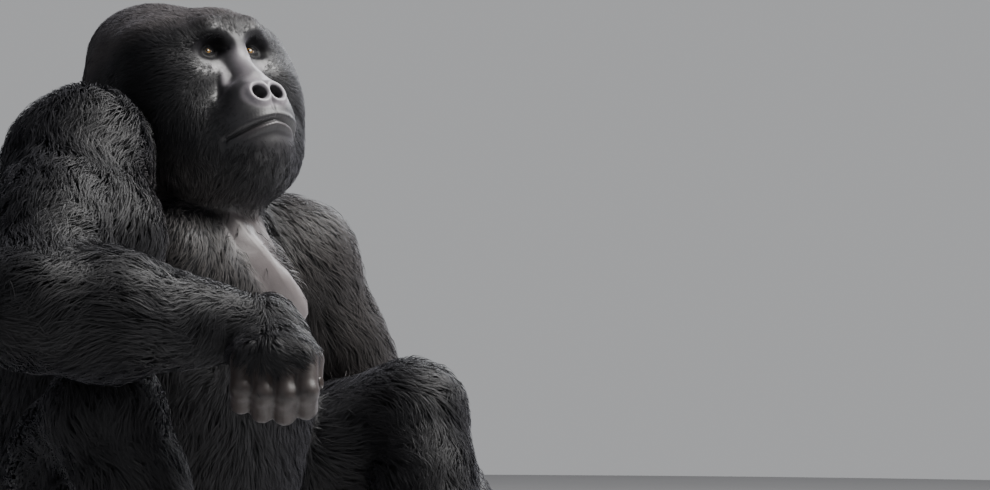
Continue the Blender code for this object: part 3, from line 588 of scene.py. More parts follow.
def thin_zone(P):
    Q = to_head(P)
    q2 = np.stack([np.abs(Q[:, 0]), Q[:, 1], Q[:, 2]], 1)
    return (q2[:, 0] < 0.068) & (q2[:, 1] > 0.08) & (np.abs(Q[:, 2] - LIP_LINE(q2[:, 0])) < 0.0055)
P = coords(skin.data)
refine(skin, thin_zone(P))
P = coords(skin.data)
sel = thin_zone(P)
P[sel] = onto(P[sel], 2, 0.0004)
set_coords(skin.data, P)
skin.data.polygons.foreach_set('use_smooth', np.ones(len(skin.data.polygons), bool))

def give(o, name, values):
    a = o.data.attributes.new(name, 'FLOAT', 'POINT')
    a.data.foreach_set('value', np.ascontiguousarray(values, np.float32))

def soft(x, a, b):
    t = np.clip((x - a) / (b - a), 0, 1)
    return t * t * (3 - 2 * t)
def face_ring(Q):
    """1 on the line where the coat begins, less inside it."""
    ax = np.abs(Q[:, 0])
    e1 = np.sqrt((ax / 0.073) ** 2 + ((Q[:, 2] - 0.004 - 0.12 * (ax - 0.04)) / 0.034) ** 2)
    e2 = np.sqrt((ax / 0.063) ** 2 + ((Q[:, 2] + 0.084) / 0.076) ** 2)
    return np.minimum(e1, e2) + 0.04 * small_waves(Q)
def bare_face(Q):
    """1 where the face is naked, 0 where the coat has closed over it."""
    ax = np.abs(Q[:, 0])
    return soft(-face_ring(Q), -1.12, -0.88) * soft(Q[:, 1], 0.02, 0.05)
def markings(P):
    """Masks from 0 to 1 that skin and coat share: where the body's colours lie, and where painted light, sheen and
    highlight lie.
    """
    Q = to_head(P)
    ax = np.abs(Q[:, 0])
    out = {}
    # the top of the head: a brownish tone of its own, made lighter with painted sheen where the light falls
    out['crown'] = soft(Q[:, 2], 0.035, 0.085) * soft(-np.linalg.norm(Q - vec(0, 0.02, 0.08), axis=1), -0.20, -0.12)
    # the bare breast: its skin has its own grey-brown tone, made lighter still with painted highlight on the folds
    breast = np.minimum(bar_d(P, (-0.012, -0.345, 0.622), (0.085, -0.37, 0.505), 0.034, 0.060), bar_d(P, (-0.014, -0.345, 0.652), (0.060, -0.310, 0.622), 0.024, 0.034))
    out['breast'] = soft(-breast, -0.026, 0.014) * soft(-P[:, 1], 0.20, 0.27) * soft(-P[:, 2], -0.662, -0.636)
    # painted light: the upper left arm, which faces the light, made lighter in coat and skin
    out['grey'] = 0.7 * soft(-bar_d(P, SHOULDER[1], ELBOW[1], 0.10, 0.085), -0.045, 0.01) * soft(P[:, 2], 0.22, 0.36)
    # sparse hair over the chest, lighter partly from the grey skin showing through, partly from painted sheen
    wide = bar_d(P, (-0.10, -0.28, 0.62), (0.08, -0.32, 0.50), 0.13, 0.13)
    out['thin'] = soft(-wide, -0.03, 0.05) * soft(-P[:, 1], 0.16, 0.25)
    return out

def skin_masks(o):
    P = coords(o.data)
    Q = to_head(P)
    ax = np.abs(Q[:, 0])
    u = Q[:, 2] - LIP_LINE(ax)
    depth = -body_d(P, False)
    on_head = near(Q, vec(0, -0.01, 0.0), 0.15, 0.22)
    give(o, 'bare', soft(-depth, -0.008, -0.002) * (1 - on_head) + bare_face(Q) * on_head)
    front = soft(Q[:, 1], 0.06, 0.09) * soft(-np.abs(Q[:, 2] + 0.05), -0.16, -0.14) * soft(-ax, -0.13, -0.11)
    give(o, 'face', front)
    # painted highlight: the lower lip made lighter
    give(o, 'lower_lip_highlight', np.exp(-((u + 0.0045) / 0.0050) ** 2) * soft(-ax, -0.060, -0.048) * front)
    # painted shade: a dark line along the parting of the lips
    give(o, 'mouth_shade', np.exp(-(u / 0.0022) ** 2) * soft(-ax, -0.066, -0.058) * front)
    q2 = np.stack([ax, Q[:, 1], Q[:, 2]], 1)
    hole = nostril_d(q2)
    # painted shade: the insides of the nostrils made nearly black
    give(o, 'nostril_shade', soft(-hole, -0.0012, 0.0006))
    # painted highlight: a light ring laid round the nostrils on the rim of the nose
    give(o, 'rim', np.exp(-((hole - 0.0035) / 0.0040) ** 2) * soft(Q[:, 1], 0.125, 0.14))
    # painted shade: the skin round the eyes darkened as if shaded by the brow
    eye = np.linalg.norm((q2 - vec(0.051, 0.108, 0.023)) / vec(0.042, 0.05, 0.0265), axis=1)
    give(o, 'socket_shade', soft(-eye, -1.10, -0.68))
    # painted highlight: the nose bridge, the cheekbones under the eyes, the ridges beside the bridge and the nose pad
    # are made lighter where the light falls on them
    bridge, _ = line_d(q2, [(0.0, 0.125, 0.004), (0.004, 0.132, -0.020), (0.008, 0.142, -0.048), (0.012, 0.160, -0.062)])
    under, _ = line_d(q2, [(0.078, 0.104, -0.006), (0.058, 0.114, -0.014), (0.040, 0.112, -0.014)])
    beside, _ = line_d(q2, [(0.030, 0.110, -0.004), (0.036, 0.122, -0.026), (0.041, 0.126, -0.040)])
    tip = np.linalg.norm((q2 - vec(0.010, 0.160, -0.078)) / vec(0.034, 0.03, 0.024), axis=1)
    painted_highlight = np.maximum.reduce([soft(-bridge, -0.025, -0.007), soft(-under, -0.013, -0.003) * 0.8, soft(-beside, -0.012, -0.001) * 0.75, soft(-tip, -1.2, -0.8)])
    give(o, 'painted_highlight', painted_highlight * front)
    marks = markings(P)
    for k, v in marks.items():
        give(o, k, v)
    ends = ends_d(P, ('arm',))
    give(o, 'hand', soft(-ends, -0.008, -0.001))
    # the lines between the fingers, and the wrinkles over their joints; the colour darkens them with painted shade, the
    # bump sinks them
    crease = np.zeros(len(P))
    for g in ('arm_R', 'arm_L'):
        bones = [F_ for F_ in FORMS if F_['part'] == g and F_.get('zone') == 'end']
        k = np.nonzero(ends < 0.02)[0]
        k = k[np.linalg.norm(P[k] - bones[0]['mid'], axis=1) < 0.22]
        if not len(k):
            continue
        each = np.stack([np.min([form_d(P[k], F_, True) for F_ in bones[i:i + 3]], axis=0) for i in range(0, 12, 3)], 1)
        each.sort(1)
        line = np.exp(-((each[:, 1] - each[:, 0]) / 0.0022) ** 2) * soft(-each[:, 0], -0.006, -0.001)
        for i in range(12):
            if i % 3:
                F_ = bones[i]
                d = P[k] - F_['a']
                t = d @ unit(unit(F_['b'] - F_['a']) + unit(bones[i - 1]['b'] - bones[i - 1]['a']))
                close = soft(-np.linalg.norm(d, axis=1), -F_['ra'] * 1.35, -F_['ra'] * 1.1)
                line = np.maximum(line, 0.75 * close * np.exp(-(t / 0.0052) ** 2) * (0.5 + 0.5 * np.cos(t * 2 * math.pi / 0.0034)))
        crease[k] = np.maximum(crease[k], line)
    give(o, 'crease', crease)
skin_masks(skin)
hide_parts(*[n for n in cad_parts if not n.startswith('eye')])

# ---------------------------------------------------------------- the coat
def sampler():
    """Reads the distance field and its slope between the grid's points."""
    gx, gy, gz = np.gradient(FIELD)
    stack = np.stack([FIELD, gx, gy, gz], -1).astype(np.float32)
    n = np.array(FIELD.shape)
    def at(P):
        x = np.clip((P - LOW) / STEP, 0, n - 1.001)
        i = x.astype(int)
        t = (x - i).astype(np.float32)
        out = np.zeros((len(P), 4), np.float32)
        for a in (0, 1):
            for b in (0, 1):
                for c in (0, 1):
                    w = (t[:, 0] if a else 1 - t[:, 0]) * (t[:, 1] if b else 1 - t[:, 1]) * (t[:, 2] if c else 1 - t[:, 2])
                    out += w[:, None] * stack[i[:, 0] + a, i[:, 1] + b, i[:, 2] + c]
        g = out[:, 1:].astype(float)
        return out[:, 0].astype(float), g / np.maximum(np.linalg.norm(g, axis=1), 1e-9)[:, None]
    return at
field = sampler()

def norm(v):
    return v / np.maximum(np.linalg.norm(v, axis=1), 1e-9)[:, None]
def lie(P, G):
    """The way the coat lies at each point, before it is laid onto the skin."""
    sx = np.clip(P[:, 0] / 0.10, -1, 1)
    Q = to_head(P)
    hx = np.clip(Q[:, 0] / 0.06, -1, 1)
    back_ = soft(P[:, 1], -0.20, -0.10)
    ways = {}
    ways['trunk'] = np.stack([sx * (0.55 - 0.25 * back_), np.where(back_ > 0.5, 0.1, 0.0), -1.0 + 0 * sx], 1)
    ways['neck'] = np.stack([0.25 * hx, 0.30 + 0 * hx, -1.0 + 0 * hx], 1)
    low = soft(-Q[:, 2], 0.02, 0.10)
    beard = soft(-Q[:, 2], 0.11, 0.16)
    rear = soft(-Q[:, 1], 0.05, 0.13)
    brow = soft(Q[:, 1], 0.06, 0.10) * soft(Q[:, 2], 0.02, 0.045)
    f = -1.0 + 0.45 * low + 0.35 * beard + 0.6 * rear + 0.3 * brow
    u = 0.05 - 0.65 * low - 0.35 * beard - 0.9 * rear + 0.9 * brow
    ways['head'] = np.stack([0.22 * hx, f, u], 1) @ HEAD_AXES.T
    for s, t in ((-1, 'R'), (1, 'L')):
        sh, el, wr = vec(*SHOULDER[s]), vec(*ELBOW[s]), vec(*WRIST[s])
        d1, d2 = bar_d(P, sh, el, 0.10, 0.085), bar_d(P, el, wr, 0.09, 0.05)
        w = soft(d1 - d2, -0.03, 0.04)[:, None]
        tip = soft(np.linalg.norm(P - el, axis=1), 0.30, 0.38)[:, None] * w
        up = unit(el - sh) + (0, 0, -0.25)
        down = unit(el - wr) + (0, 0, -0.22 if s < 0 else 0.0)
        out = unit(wr - el) + (0, -0.2, -0.6)
        ways['arm_' + t] = (1 - w) * up + w * ((1 - tip) * down + tip * out)
        hp, kn, an = vec(*HIP[s]), vec(*KNEE[s]), vec(*ANKLE[s])
        d1, d2 = bar_d(P, hp, kn, 0.12, 0.086), bar_d(P, kn, an, 0.084, 0.05)
        w = soft(d1 - d2, -0.03, 0.04)[:, None]
        ways['leg_' + t] = (1 - w) * (unit(kn - hp) + (0, 0.1, -0.45)) + w * (unit(an - kn) + (0, 0.15, -0.3))
    D = np.stack([G[g] for g in PARTS], 1)
    W = np.exp(-(D - D.min(1)[:, None]) / 0.022)
    W /= W.sum(1)[:, None]
    T = np.zeros((len(P), 3))
    for k, g in enumerate(PARTS):
        T += W[:, k:k+1] * norm(ways[g])
    return norm(T), D.argmin(1)

def coat(total, seed=5):
    rng = np.random.default_rng(seed)
    me = base.data
    me.calc_loop_triangles()
    tri = np.zeros(len(me.loop_triangles) * 3, np.int32)
    me.loop_triangles.foreach_get('vertices', tri)
    tri = tri.reshape(-1, 3)
    loops = np.zeros(len(me.loop_triangles) * 3, np.int32)
    me.loop_triangles.foreach_get('loops', loops)
    uv = np.zeros(len(me.loops) * 2, np.float32)
    me.uv_layers.active.data.foreach_get('uv', uv)
    uv = uv.reshape(-1, 2)[loops.reshape(-1, 3)]
    V = coords(me)
    A, B, C = V[tri[:, 0]], V[tri[:, 1]], V[tri[:, 2]]
    area = np.linalg.norm(np.cross(B - A, C - A), axis=1) / 2
    mid = (A + B + C) / 3
    depth = -body_d(mid, False)
    Q = to_head(mid)
    on_head = near(Q, vec(0, -0.01, 0.0), 0.15, 0.22)
    bare = bare_face(Q) * near(Q, vec(0, 0.06, -0.03), 0.15, 0.17)
    rho = np.maximum(soft(depth, 0.0006, 0.0050), 0.9 * on_head) * (1.0 + 2.4 * on_head + 1.3 * near(mid, vec(*WRIST[-1]), 0.09, 0.15))
    for s in (-1, 1):
        rho *= 1.0 - 0.85 * near(Q, vec(s * (EAR[0] + 0.004), EAR[1] + 0.004, EAR[2]), 0.016, 0.026)
    chin = soft(-Q[:, 2], 0.128, 0.140) * soft(Q[:, 1], 0.06, 0.09)
    rho *= 1.0 - bare * (1.0 - 0.25 * chin)
    q2 = np.stack([np.abs(Q[:, 0]), Q[:, 1], Q[:, 2]], 1)
    hollow = np.linalg.norm((q2 - vec(0.043, 0.108, 0.018)) / vec(0.034, 0.030, 0.023), axis=1) < 1
    hollow |= nostril_d(q2) < 0.006
    hollow |= (q2[:, 0] < 0.074) & (Q[:, 1] > 0.07) & (np.abs(Q[:, 2] - LIP_LINE(q2[:, 0])) < 0.012)
    rho[hollow] = 0.0
    rho *= soft(ends_d(mid, ('arm',)), -0.0005, 0.0045)
    rho *= 1.0 - 0.75 * soft(-mid[:, 2], -0.012, -0.004)
    marks0 = markings(mid)
    rho *= (1.0 - 0.93 * marks0['breast']) * (1.0 - 0.45 * marks0['thin'])
    cum = np.cumsum(area * rho)
    pick = np.searchsorted(cum, rng.uniform(0, cum[-1], total))
    pick = np.clip(pick, 0, len(tri) - 1)
    a, b = rng.uniform(size=total), rng.uniform(size=total)
    flip = a + b > 1
    a[flip], b[flip] = 1 - a[flip], 1 - b[flip]
    w = np.stack([1 - a - b, a, b], 1)
    R = (V[tri[pick]] * w[:, :, None]).sum(1)
    RUV = (uv[pick] * w[:, :, None]).sum(1)
    f, N = field(R)
    R = R - N * f[:, None]
    G = parts_d(R, True)
    T, part = lie(R, G)
    D = np.clip(-body_d(R, False), 0.001, 0.034)
    D = np.maximum(D, 0.0026)
    Qr = to_head(R)
    head_w = near(Qr, vec(0, -0.01, 0.0), 0.15, 0.22)
    # broad and small waves in the lie
    turn = 0.30 * turn_broad(R) * (1 - 0.5 * head_w) + 0.24 * turn_small(R) * (1 - 0.7 * head_w) + rng.normal(0, 0.15, total) * (1 - 0.35 * head_w)
    T = norm(T - N * (T * N).sum(1)[:, None])
    S = np.cross(N, T)
    T = T * np.cos(turn)[:, None] + S * np.sin(turn)[:, None]
    L = (0.013 + 1.95 * D) * (1 - 0.34 * head_w) * rng.uniform(0.7, 1.2, total)
    edge = np.where(head_w > 0.01, 1.0 - soft(face_ring(Qr), 0.95, 1.75), 0.0) * soft(Qr[:, 1], 0.0, 0.05)
    L *= 1.0 - 0.62 * edge
    D = np.maximum(D * (1.0 - 0.70 * edge), 0.0018)
    top = D * (0.62 + 0.50 * rng.uniform(size=total) ** 0.7)
    rings = np.array([0.0, 0.34, 0.68, 1.0])
    rise = np.array([-0.10, 0.66, 0.94, 0.96])
    path = [R - N * 0.0012]
    sides = [np.cross(N, T)]
    p, n = R, N
    for k in range(1, 4):
        t = norm(T - n * (T * n).sum(1)[:, None])
        p = p + t * (L * (rings[k] - rings[k - 1]))[:, None]
        f, n = field(p)
        p = p + n * (top * rise[k] - f)[:, None]
        path.append(p)
        sides.append(np.cross(n, t))
        if k == 2:
            T = norm(T + vec(0, 0, -0.10))
    # locks: tufts lean together toward a leader's tip
    lead = rng.choice(total, total // 13, replace=False)
    tree = KDTree(len(lead))
    for j, i in enumerate(lead):
        tree.insert(R[i], j)
    tree.balance()
    mine = np.array([tree.find(r)[1] for r in R])
    own = lead[mine]
    gather = ((0.18 + 0.36 * rng.uniform(size=len(lead)))[mine]) * (1 - 0.45 * head_w) * np.where(np.linalg.norm(R - R[own], axis=1) < 0.030, 1, 0)
    leaders = [q[own] for q in path]
    phase = 2.2 * small_waves(R) + 1.2 * tiny_waves(R)
    amp = 0.0019 * np.clip(L / 0.045, 0.1, 1.2) * (1 - 0.6 * head_w)
    for k in range(1, 4):
        s = rings[k]
        shift = R + leaders[k] - leaders[0]
        mix = (gather * s ** 1.4)[:, None]
        join = path[k] * (1 - mix) + mix * (leaders[k] * 0.75 + shift * 0.25)
        join += sides[k] * (amp * (np.sin(phase + 3.6 * s) - np.sin(phase)))[:, None]
        f, n = field(join)
        over = np.maximum(f - D * 1.12 - 0.001, 0) + np.minimum(f - 0.0008, 0)
        path[k] = join - n * over[:, None]
        path[k][:, 2] = np.maximum(path[k][:, 2], 0.0015)
    path[0][:, 2] = np.maximum(path[0][:, 2], 0.0008)
    W = 0.0017 * rng.uniform(0.65, 1.3, total) * np.clip(L / 0.045, 0.22, 1.15) ** 0.5
    roll = rng.normal(0, 0.36, total)
    widths = [0.75, 1.0, 0.60]
    verts = np.zeros((total, 7, 3))
    shade = np.zeros((total, 7, 3))
    for k in range(3):
        _, n = field(path[k])
        b = sides[k] * np.cos(roll)[:, None] + n * np.sin(roll)[:, None]
        h = b * (W * widths[k] / 2)[:, None]
        face = np.cross(b, norm(path[k + 1] - path[k]))
        face *= np.sign((face * n).sum(1))[:, None]
        soft_n = norm(0.70 * n + 0.50 * norm(face))
        shade[:, 2 * k] = norm(soft_n - 0.30 * b)
        shade[:, 2 * k + 1] = norm(soft_n + 0.30 * b)
        shade[:, 6] = soft_n
        verts[:, 2 * k] = path[k] - h
        verts[:, 2 * k + 1] = path[k] + h
    verts[:, 6] = path[3]
    # a tuft that strays far from its root, or over an eye, is left out
    span = np.linalg.norm(path[3] - R, axis=1)
    keep = span < 1.35 * L + 0.006
    for k in range(1, 4):
        keep &= np.linalg.norm(path[k] - path[k - 1], axis=1) < 0.62 * L + 0.006
        q = to_head(path[k])
        q[:, 0] = np.abs(q[:, 0])
        keep &= np.linalg.norm((q - vec(0.0425, 0.112, 0.017)) / vec(0.024, 0.034, 0.0155), axis=1) > 1
        keep &= (nostril_d(q) > 0.003) & ((q[:, 0] > 0.070) | (q[:, 1] < 0.07) | (np.abs(q[:, 2] - LIP_LINE(q[:, 0])) > 0.006))
    print('tufts', total, 'left out', int((~keep).sum()))
    verts[:, :, 2] = np.maximum(verts[:, :, 2], 0.0006)
    tris = np.array([(0, 3, 1), (0, 2, 3), (2, 5, 3), (2, 4, 5), (4, 6, 5)])
    patch = np.array([(-.5, -.5), (.5, -.5), (-.5, -.17), (.5, -.17), (-.5, .17), (.5, .17), (0, .5)]) * 0.003
    along = np.array([0, 0, .34, .34, .68, .68, 1.0])
    marks = markings(R)
    rand = rng.uniform(size=total)
    lock = rng.uniform(size=len(lead))[mine]
    names = {'trunk': 'chest', 'neck': 'neck', 'head': 'head', 'arm_R': 'arm_R', 'arm_L': 'arm_L', 'leg_R': 'leg_R', 'leg_L': 'leg_L'}
    made = []
    kind = part.copy()
    for g in range(len(PARTS)):
        ids = np.nonzero((part == g) & keep)[0]
        if not len(ids):
            continue
        pieces = int(math.ceil(len(ids) / 39500))
        order = ids[np.argsort(RUV[ids, 0] * 0 + R[ids, 2])[::-1]]
        for c, chunk in enumerate(np.array_split(order, pieces)):
            v = verts[chunk].reshape(-1, 3)
            F = (tris[None] + (np.arange(len(chunk)) * 7)[:, None, None]).reshape(-1, 3)
            name = 'coat_%s_%d' % (PARTS[g], c + 1)
            o = mesh_object(name, v, F)
            o.data.normals_split_custom_set_from_vertices(shade[chunk].reshape(-1, 3).tolist())
            lay = o.data.uv_layers.new(name='OFBake')
            vu = (RUV[chunk][:, None, :] + patch[None]).reshape(-1, 2)
            lay.data.foreach_set('uv', np.ascontiguousarray(vu[F.ravel()], np.float32).ravel())
            give(o, 'along', np.tile(along, len(chunk)))
            give(o, 'rand', np.repeat(rand[chunk], 7))
            give(o, 'lock', np.repeat(lock[chunk], 7))
            for k, m_ in marks.items():
                give(o, k, np.repeat(m_[chunk], 7))
            made.append((o, PARTS[g]))
    return made
TOTAL = 285000
coats = coat(TOTAL)
bpy.data.objects.remove(base)

# ---------------------------------------------------------------- eyes
GAZE = {-1: (-0.36, 1.0, 0.06), 1: (-0.40, 1.0, 0.06)}
def eyeball(s, tag):
    """Eyeball with a clear bulge over the iris; +Z of the object looks along the gaze."""
    n, m_ = 56, 40
    rows = [(0, 0, 1.0)]
    V, F = [], []
    for i in range(m_ + 1):
        th = math.pi * (i / m_) ** 1.25
        for j in range(n):
            ph = 2 * math.pi * j / n
            r = EYE_R * (1.0 + 0.075 * math.exp(-(th / 0.42) ** 4) * math.cos(min(th / 0.5, 1) * math.pi / 2))
            V.append((r * math.sin(th) * math.cos(ph), r * math.sin(th) * math.sin(ph), r * math.cos(th)))
    for i in range(m_):
        for j in range(n):
            F.append((i * n + j, (i + 1) * n + j, (i + 1) * n + (j + 1) % n, i * n + (j + 1) % n))
    o = mesh_object('eyeball_' + tag, V, F)
    bm = bmesh.new()
    bm.from_mesh(o.data)
    bmesh.ops.remove_doubles(bm, verts=bm.verts, dist=1e-6)
    bm.to_mesh(o.data)
    bm.free()
    look = HEAD_AXES @ unit(GAZE[s])
    o.matrix_world = Matrix.Translation(Vector(in_head(s * EYE[0], EYE[1], EYE[2]) + SETTLE)) @ Vector(look).to_track_quat('Z', 'Y').to_matrix().to_4x4()
    o.data.polygons.foreach_set('use_smooth', np.ones(len(o.data.polygons), bool))
    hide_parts('eye_' + tag)
    return o
eyeballs = [eyeball(-1, 'R'), eyeball(1, 'L')]

# ---------------------------------------------------------------- nails
def nail_set(name, tips):
    """A curved plate on the back of the last bone of each finger or toe."""
    V, F = [], []
    for a, b, r, upward, size in tips:
        a, b = np.asarray(a, float), np.asarray(b, float)
        d = unit(b - a)
        out = unit(np.asarray(upward, float) - d * float(np.asarray(upward, float) @ d))
        side = np.cross(d, out)
        nu, nv = 9, 7
        start = len(V)
        for layer in (0.0, 1.0):
            for i in range(nu):
                x = i / (nu - 1) * 2 - 1
                for j in range(nv):
                    t = j / (nv - 1)
                    ang = x * (1.05 - 0.22 * (2 * t - 1) ** 2)
                    reach = (-0.55 + t * 1.20) * size - 0.10 * size * x * x * (1 if t > 0.5 else -0.5)
                    rr = math.sqrt(max(r * r - 0.85 * max(reach, 0.0) ** 2, 0.16 * r * r))
                    rr += 0.0003 + 0.0007 * layer - (0.0014 if j == 0 else 0) - 0.0006 * x * x
                    p = b + d * reach + (side * math.sin(ang) + out * math.cos(ang)) * rr
                    V.append(p)
        k = nu * nv
        for i in range(nu - 1):
            for j in range(nv - 1):
                q = (i * nv + j, (i + 1) * nv + j, (i + 1) * nv + j + 1, i * nv + j + 1)
                F.append(tuple(start + v for v in q[::-1]))
                F.append(tuple(start + k + v for v in q))
        ring = [i * nv for i in range(nu)] + [(nu - 1) * nv + j for j in range(1, nv)] + [i * nv + nv - 1 for i in range(nu - 2, -1, -1)] + [j for j in range(nv - 2, 0, -1)]
        for p0, p1 in zip(ring, ring[1:] + ring[:1]):
            F.append((start + p0, start + p1, start + k + p1, start + k + p0))
    o = mesh_object(name, np.array(V) + SETTLE, F)
    o.data.validate()
    m = o.modifiers.new('round', 'SUBSURF')
    m.levels = m.render_levels = 1
    applied(o)
    o.data.polygons.foreach_set('use_smooth', np.ones(len(o.data.polygons), bool))
    return o
nails = []
for s, t in ((-1, 'R'), (1, 'L')):
    nails.append(nail_set('nails_hand_' + t, LAST[('hand', s)]))
    nails.append(nail_set('nails_foot_' + t, LAST[('foot', s)]))

# ---------------------------------------------------------------- materials
def nodes_of(name):
    m = bpy.data.materials.new(name)
    m.use_nodes = True
    nt = m.node_tree
    b = nt.nodes['Principled BSDF']
    def n(kind, **kw):
        x = nt.nodes.new(kind)
        for k, v in kw.items():
            setattr(x, k, v)
        return x
    def link(a, c):
        nt.links.new(a, c)
    return m, nt, b, n, link
def attr(n, name):
    return n('ShaderNodeAttribute', attribute_name=name).outputs['Fac']
def mixer(n, link, fac, a, c, mode='MIX'):
    x = n('ShaderNodeMix', data_type='RGBA', blend_type=mode)
    for sock, v in ((x.inputs['Factor'], fac), (x.inputs['A'], a), (x.inputs['B'], c)):
        if isinstance(v, (int, float)):
            sock.default_value = v
        elif isinstance(v, tuple):
            sock.default_value = (*v, 1.0)
        else:
            link(v, sock)
    return x.outputs['Result']
def maths(n, link, op, *vals):
    x = n('ShaderNodeMath', operation=op)
    for i, v in enumerate(vals):
        if isinstance(v, (int, float)):
            x.inputs[i].default_value = v
        else:
            link(v, x.inputs[i])
    return x.outputs[0]
def noise(n, link, co, scale, detail=4.0, rough=0.55, kind='fac'):
    x = n('ShaderNodeTexNoise')
    link(co, x.inputs['Vector'])
    x.inputs['Scale'].default_value = scale
    x.inputs['Detail'].default_value = detail
    x.inputs['Roughness'].default_value = rough
    return x.outputs['Fac']

def skin_material():
    m, nt, b, n, link = nodes_of('bare_skin')
    co = n('ShaderNodeTexCoord').outputs['Object']
    mottle = noise(n, link, co, 26.0, 5.0)
    fine = noise(n, link, co, 240.0, 3.0)
    col = mixer(n, link, mottle, (0.014, 0.013, 0.015), (0.028, 0.026, 0.030))
    # painted light: lighter skin on the upper left arm, which faces the light
    col = mixer(n, link, attr(n, 'grey'), col, mixer(n, link, mottle, (0.020, 0.018, 0.018), (0.036, 0.033, 0.033)))
    # bare breast skin: own grey-brown tone, lightened with painted highlight
    breast = mixer(n, link, mottle, (0.130, 0.112, 0.110), (0.210, 0.182, 0.180))
    col = mixer(n, link, maths(n, link, 'MULTIPLY', attr(n, 'breast'), 0.9), col, breast)
    finger = mixer(n, link, mottle, (0.026, 0.019, 0.016), (0.055, 0.039, 0.033))
    col = mixer(n, link, maths(n, link, 'MULTIPLY', attr(n, 'hand'), 0.8), col, finger)
    face = mixer(n, link, mottle, (0.012, 0.0112, 0.0125), (0.026, 0.0240, 0.0268))
    # painted shade in the creases between the fingers and over their joints
    col = mixer(n, link, maths(n, link, 'MULTIPLY', attr(n, 'crease'), 0.85), col, (0.006, 0.0045, 0.004))
    col = mixer(n, link, attr(n, 'face'), col, face)
    # painted highlight on the nose bridge, the cheekbones and the nose pad
    col = mixer(n, link, maths(n, link, 'MULTIPLY', attr(n, 'painted_highlight'), 0.85), col, mixer(n, link, mottle, (0.185, 0.170, 0.186), (0.310, 0.286, 0.308)))
    # painted shade in the eye sockets, as under the brow
    col = mixer(n, link, maths(n, link, 'MULTIPLY', attr(n, 'socket_shade'), 0.94), col, (0.004, 0.0038, 0.004))
    # painted highlight on the rims of the nostrils
    col = mixer(n, link, maths(n, link, 'MULTIPLY', attr(n, 'rim'), 0.7), col, (0.320, 0.298, 0.318))
    # painted highlight along the lower lip
    col = mixer(n, link, maths(n, link, 'MULTIPLY', attr(n, 'lower_lip_highlight'), 0.5), col, (0.080, 0.068, 0.070))
    # painted shade in the parting of the lips
    col = mixer(n, link, attr(n, 'mouth_shade'), col, (0.004, 0.0035, 0.004))
    # painted shade inside the nostrils
    col = mixer(n, link, attr(n, 'nostril_shade'), col, (0.002, 0.002, 0.002))
    # under the coat the skin is dark
    covered = maths(n, link, 'SUBTRACT', 1.0, attr(n, 'bare'))
    covered = maths(n, link, 'MULTIPLY', covered, maths(n, link, 'SUBTRACT', 1.0, maths(n, link, 'MULTIPLY', attr(n, 'breast'), 0.85)))
    col = mixer(n, link, covered, col, (0.010, 0.0095, 0.011))
    link(col, b.inputs['Base Color'])
    rough = n('ShaderNodeMapRange')
    link(fine, rough.inputs['Value'])
    rough.inputs['To Min'].default_value, rough.inputs['To Max'].default_value = 0.36, 0.58
    link(rough.outputs[0], b.inputs['Roughness'])
    link(maths(n, link, 'SUBTRACT', 0.60, maths(n, link, 'MULTIPLY', attr(n, 'socket_shade'), 0.52)), b.inputs['Specular IOR Level'])
    b.inputs['Sheen Weight'].default_value = 0.12
    b.inputs['Sheen Roughness'].default_value = 0.45
    b.inputs['Sheen Tint'].default_value = (0.78, 0.76, 0.86, 1.0)
    cells = n('ShaderNodeTexVoronoi', feature='DISTANCE_TO_EDGE')
    bent = n('ShaderNodeVectorMath', operation='ADD')
    link(co, bent.inputs[0])
    wob = n('ShaderNodeTexNoise')
    link(co, wob.inputs['Vector'])
    wob.inputs['Scale'].default_value = 60.0
    sc = n('ShaderNodeVectorMath', operation='SCALE')
    link(wob.outputs['Color'], sc.inputs[0])
    sc.inputs['Scale'].default_value = 0.006
    link(sc.outputs[0], bent.inputs[1])
    link(bent.outputs[0], cells.inputs['Vector'])
    cells.inputs['Scale'].default_value = 520.0
    leather = maths(n, link, 'MINIMUM', cells.outputs['Distance'], 0.25)
    h = maths(n, link, 'ADD', maths(n, link, 'ADD', maths(n, link, 'MULTIPLY', leather, 0.55), maths(n, link, 'MULTIPLY', attr(n, 'crease'), -1.2)), maths(n, link, 'MULTIPLY', noise(n, link, co, 130.0, 6.0, 0.62), 1.2))
    bump = n('ShaderNodeBump')
    bump.inputs['Strength'].default_value = 0.24
    bump.inputs['Distance'].default_value = 0.0011
    link(h, bump.inputs['Height'])
    link(bump.outputs[0], b.inputs['Normal'])
    return m

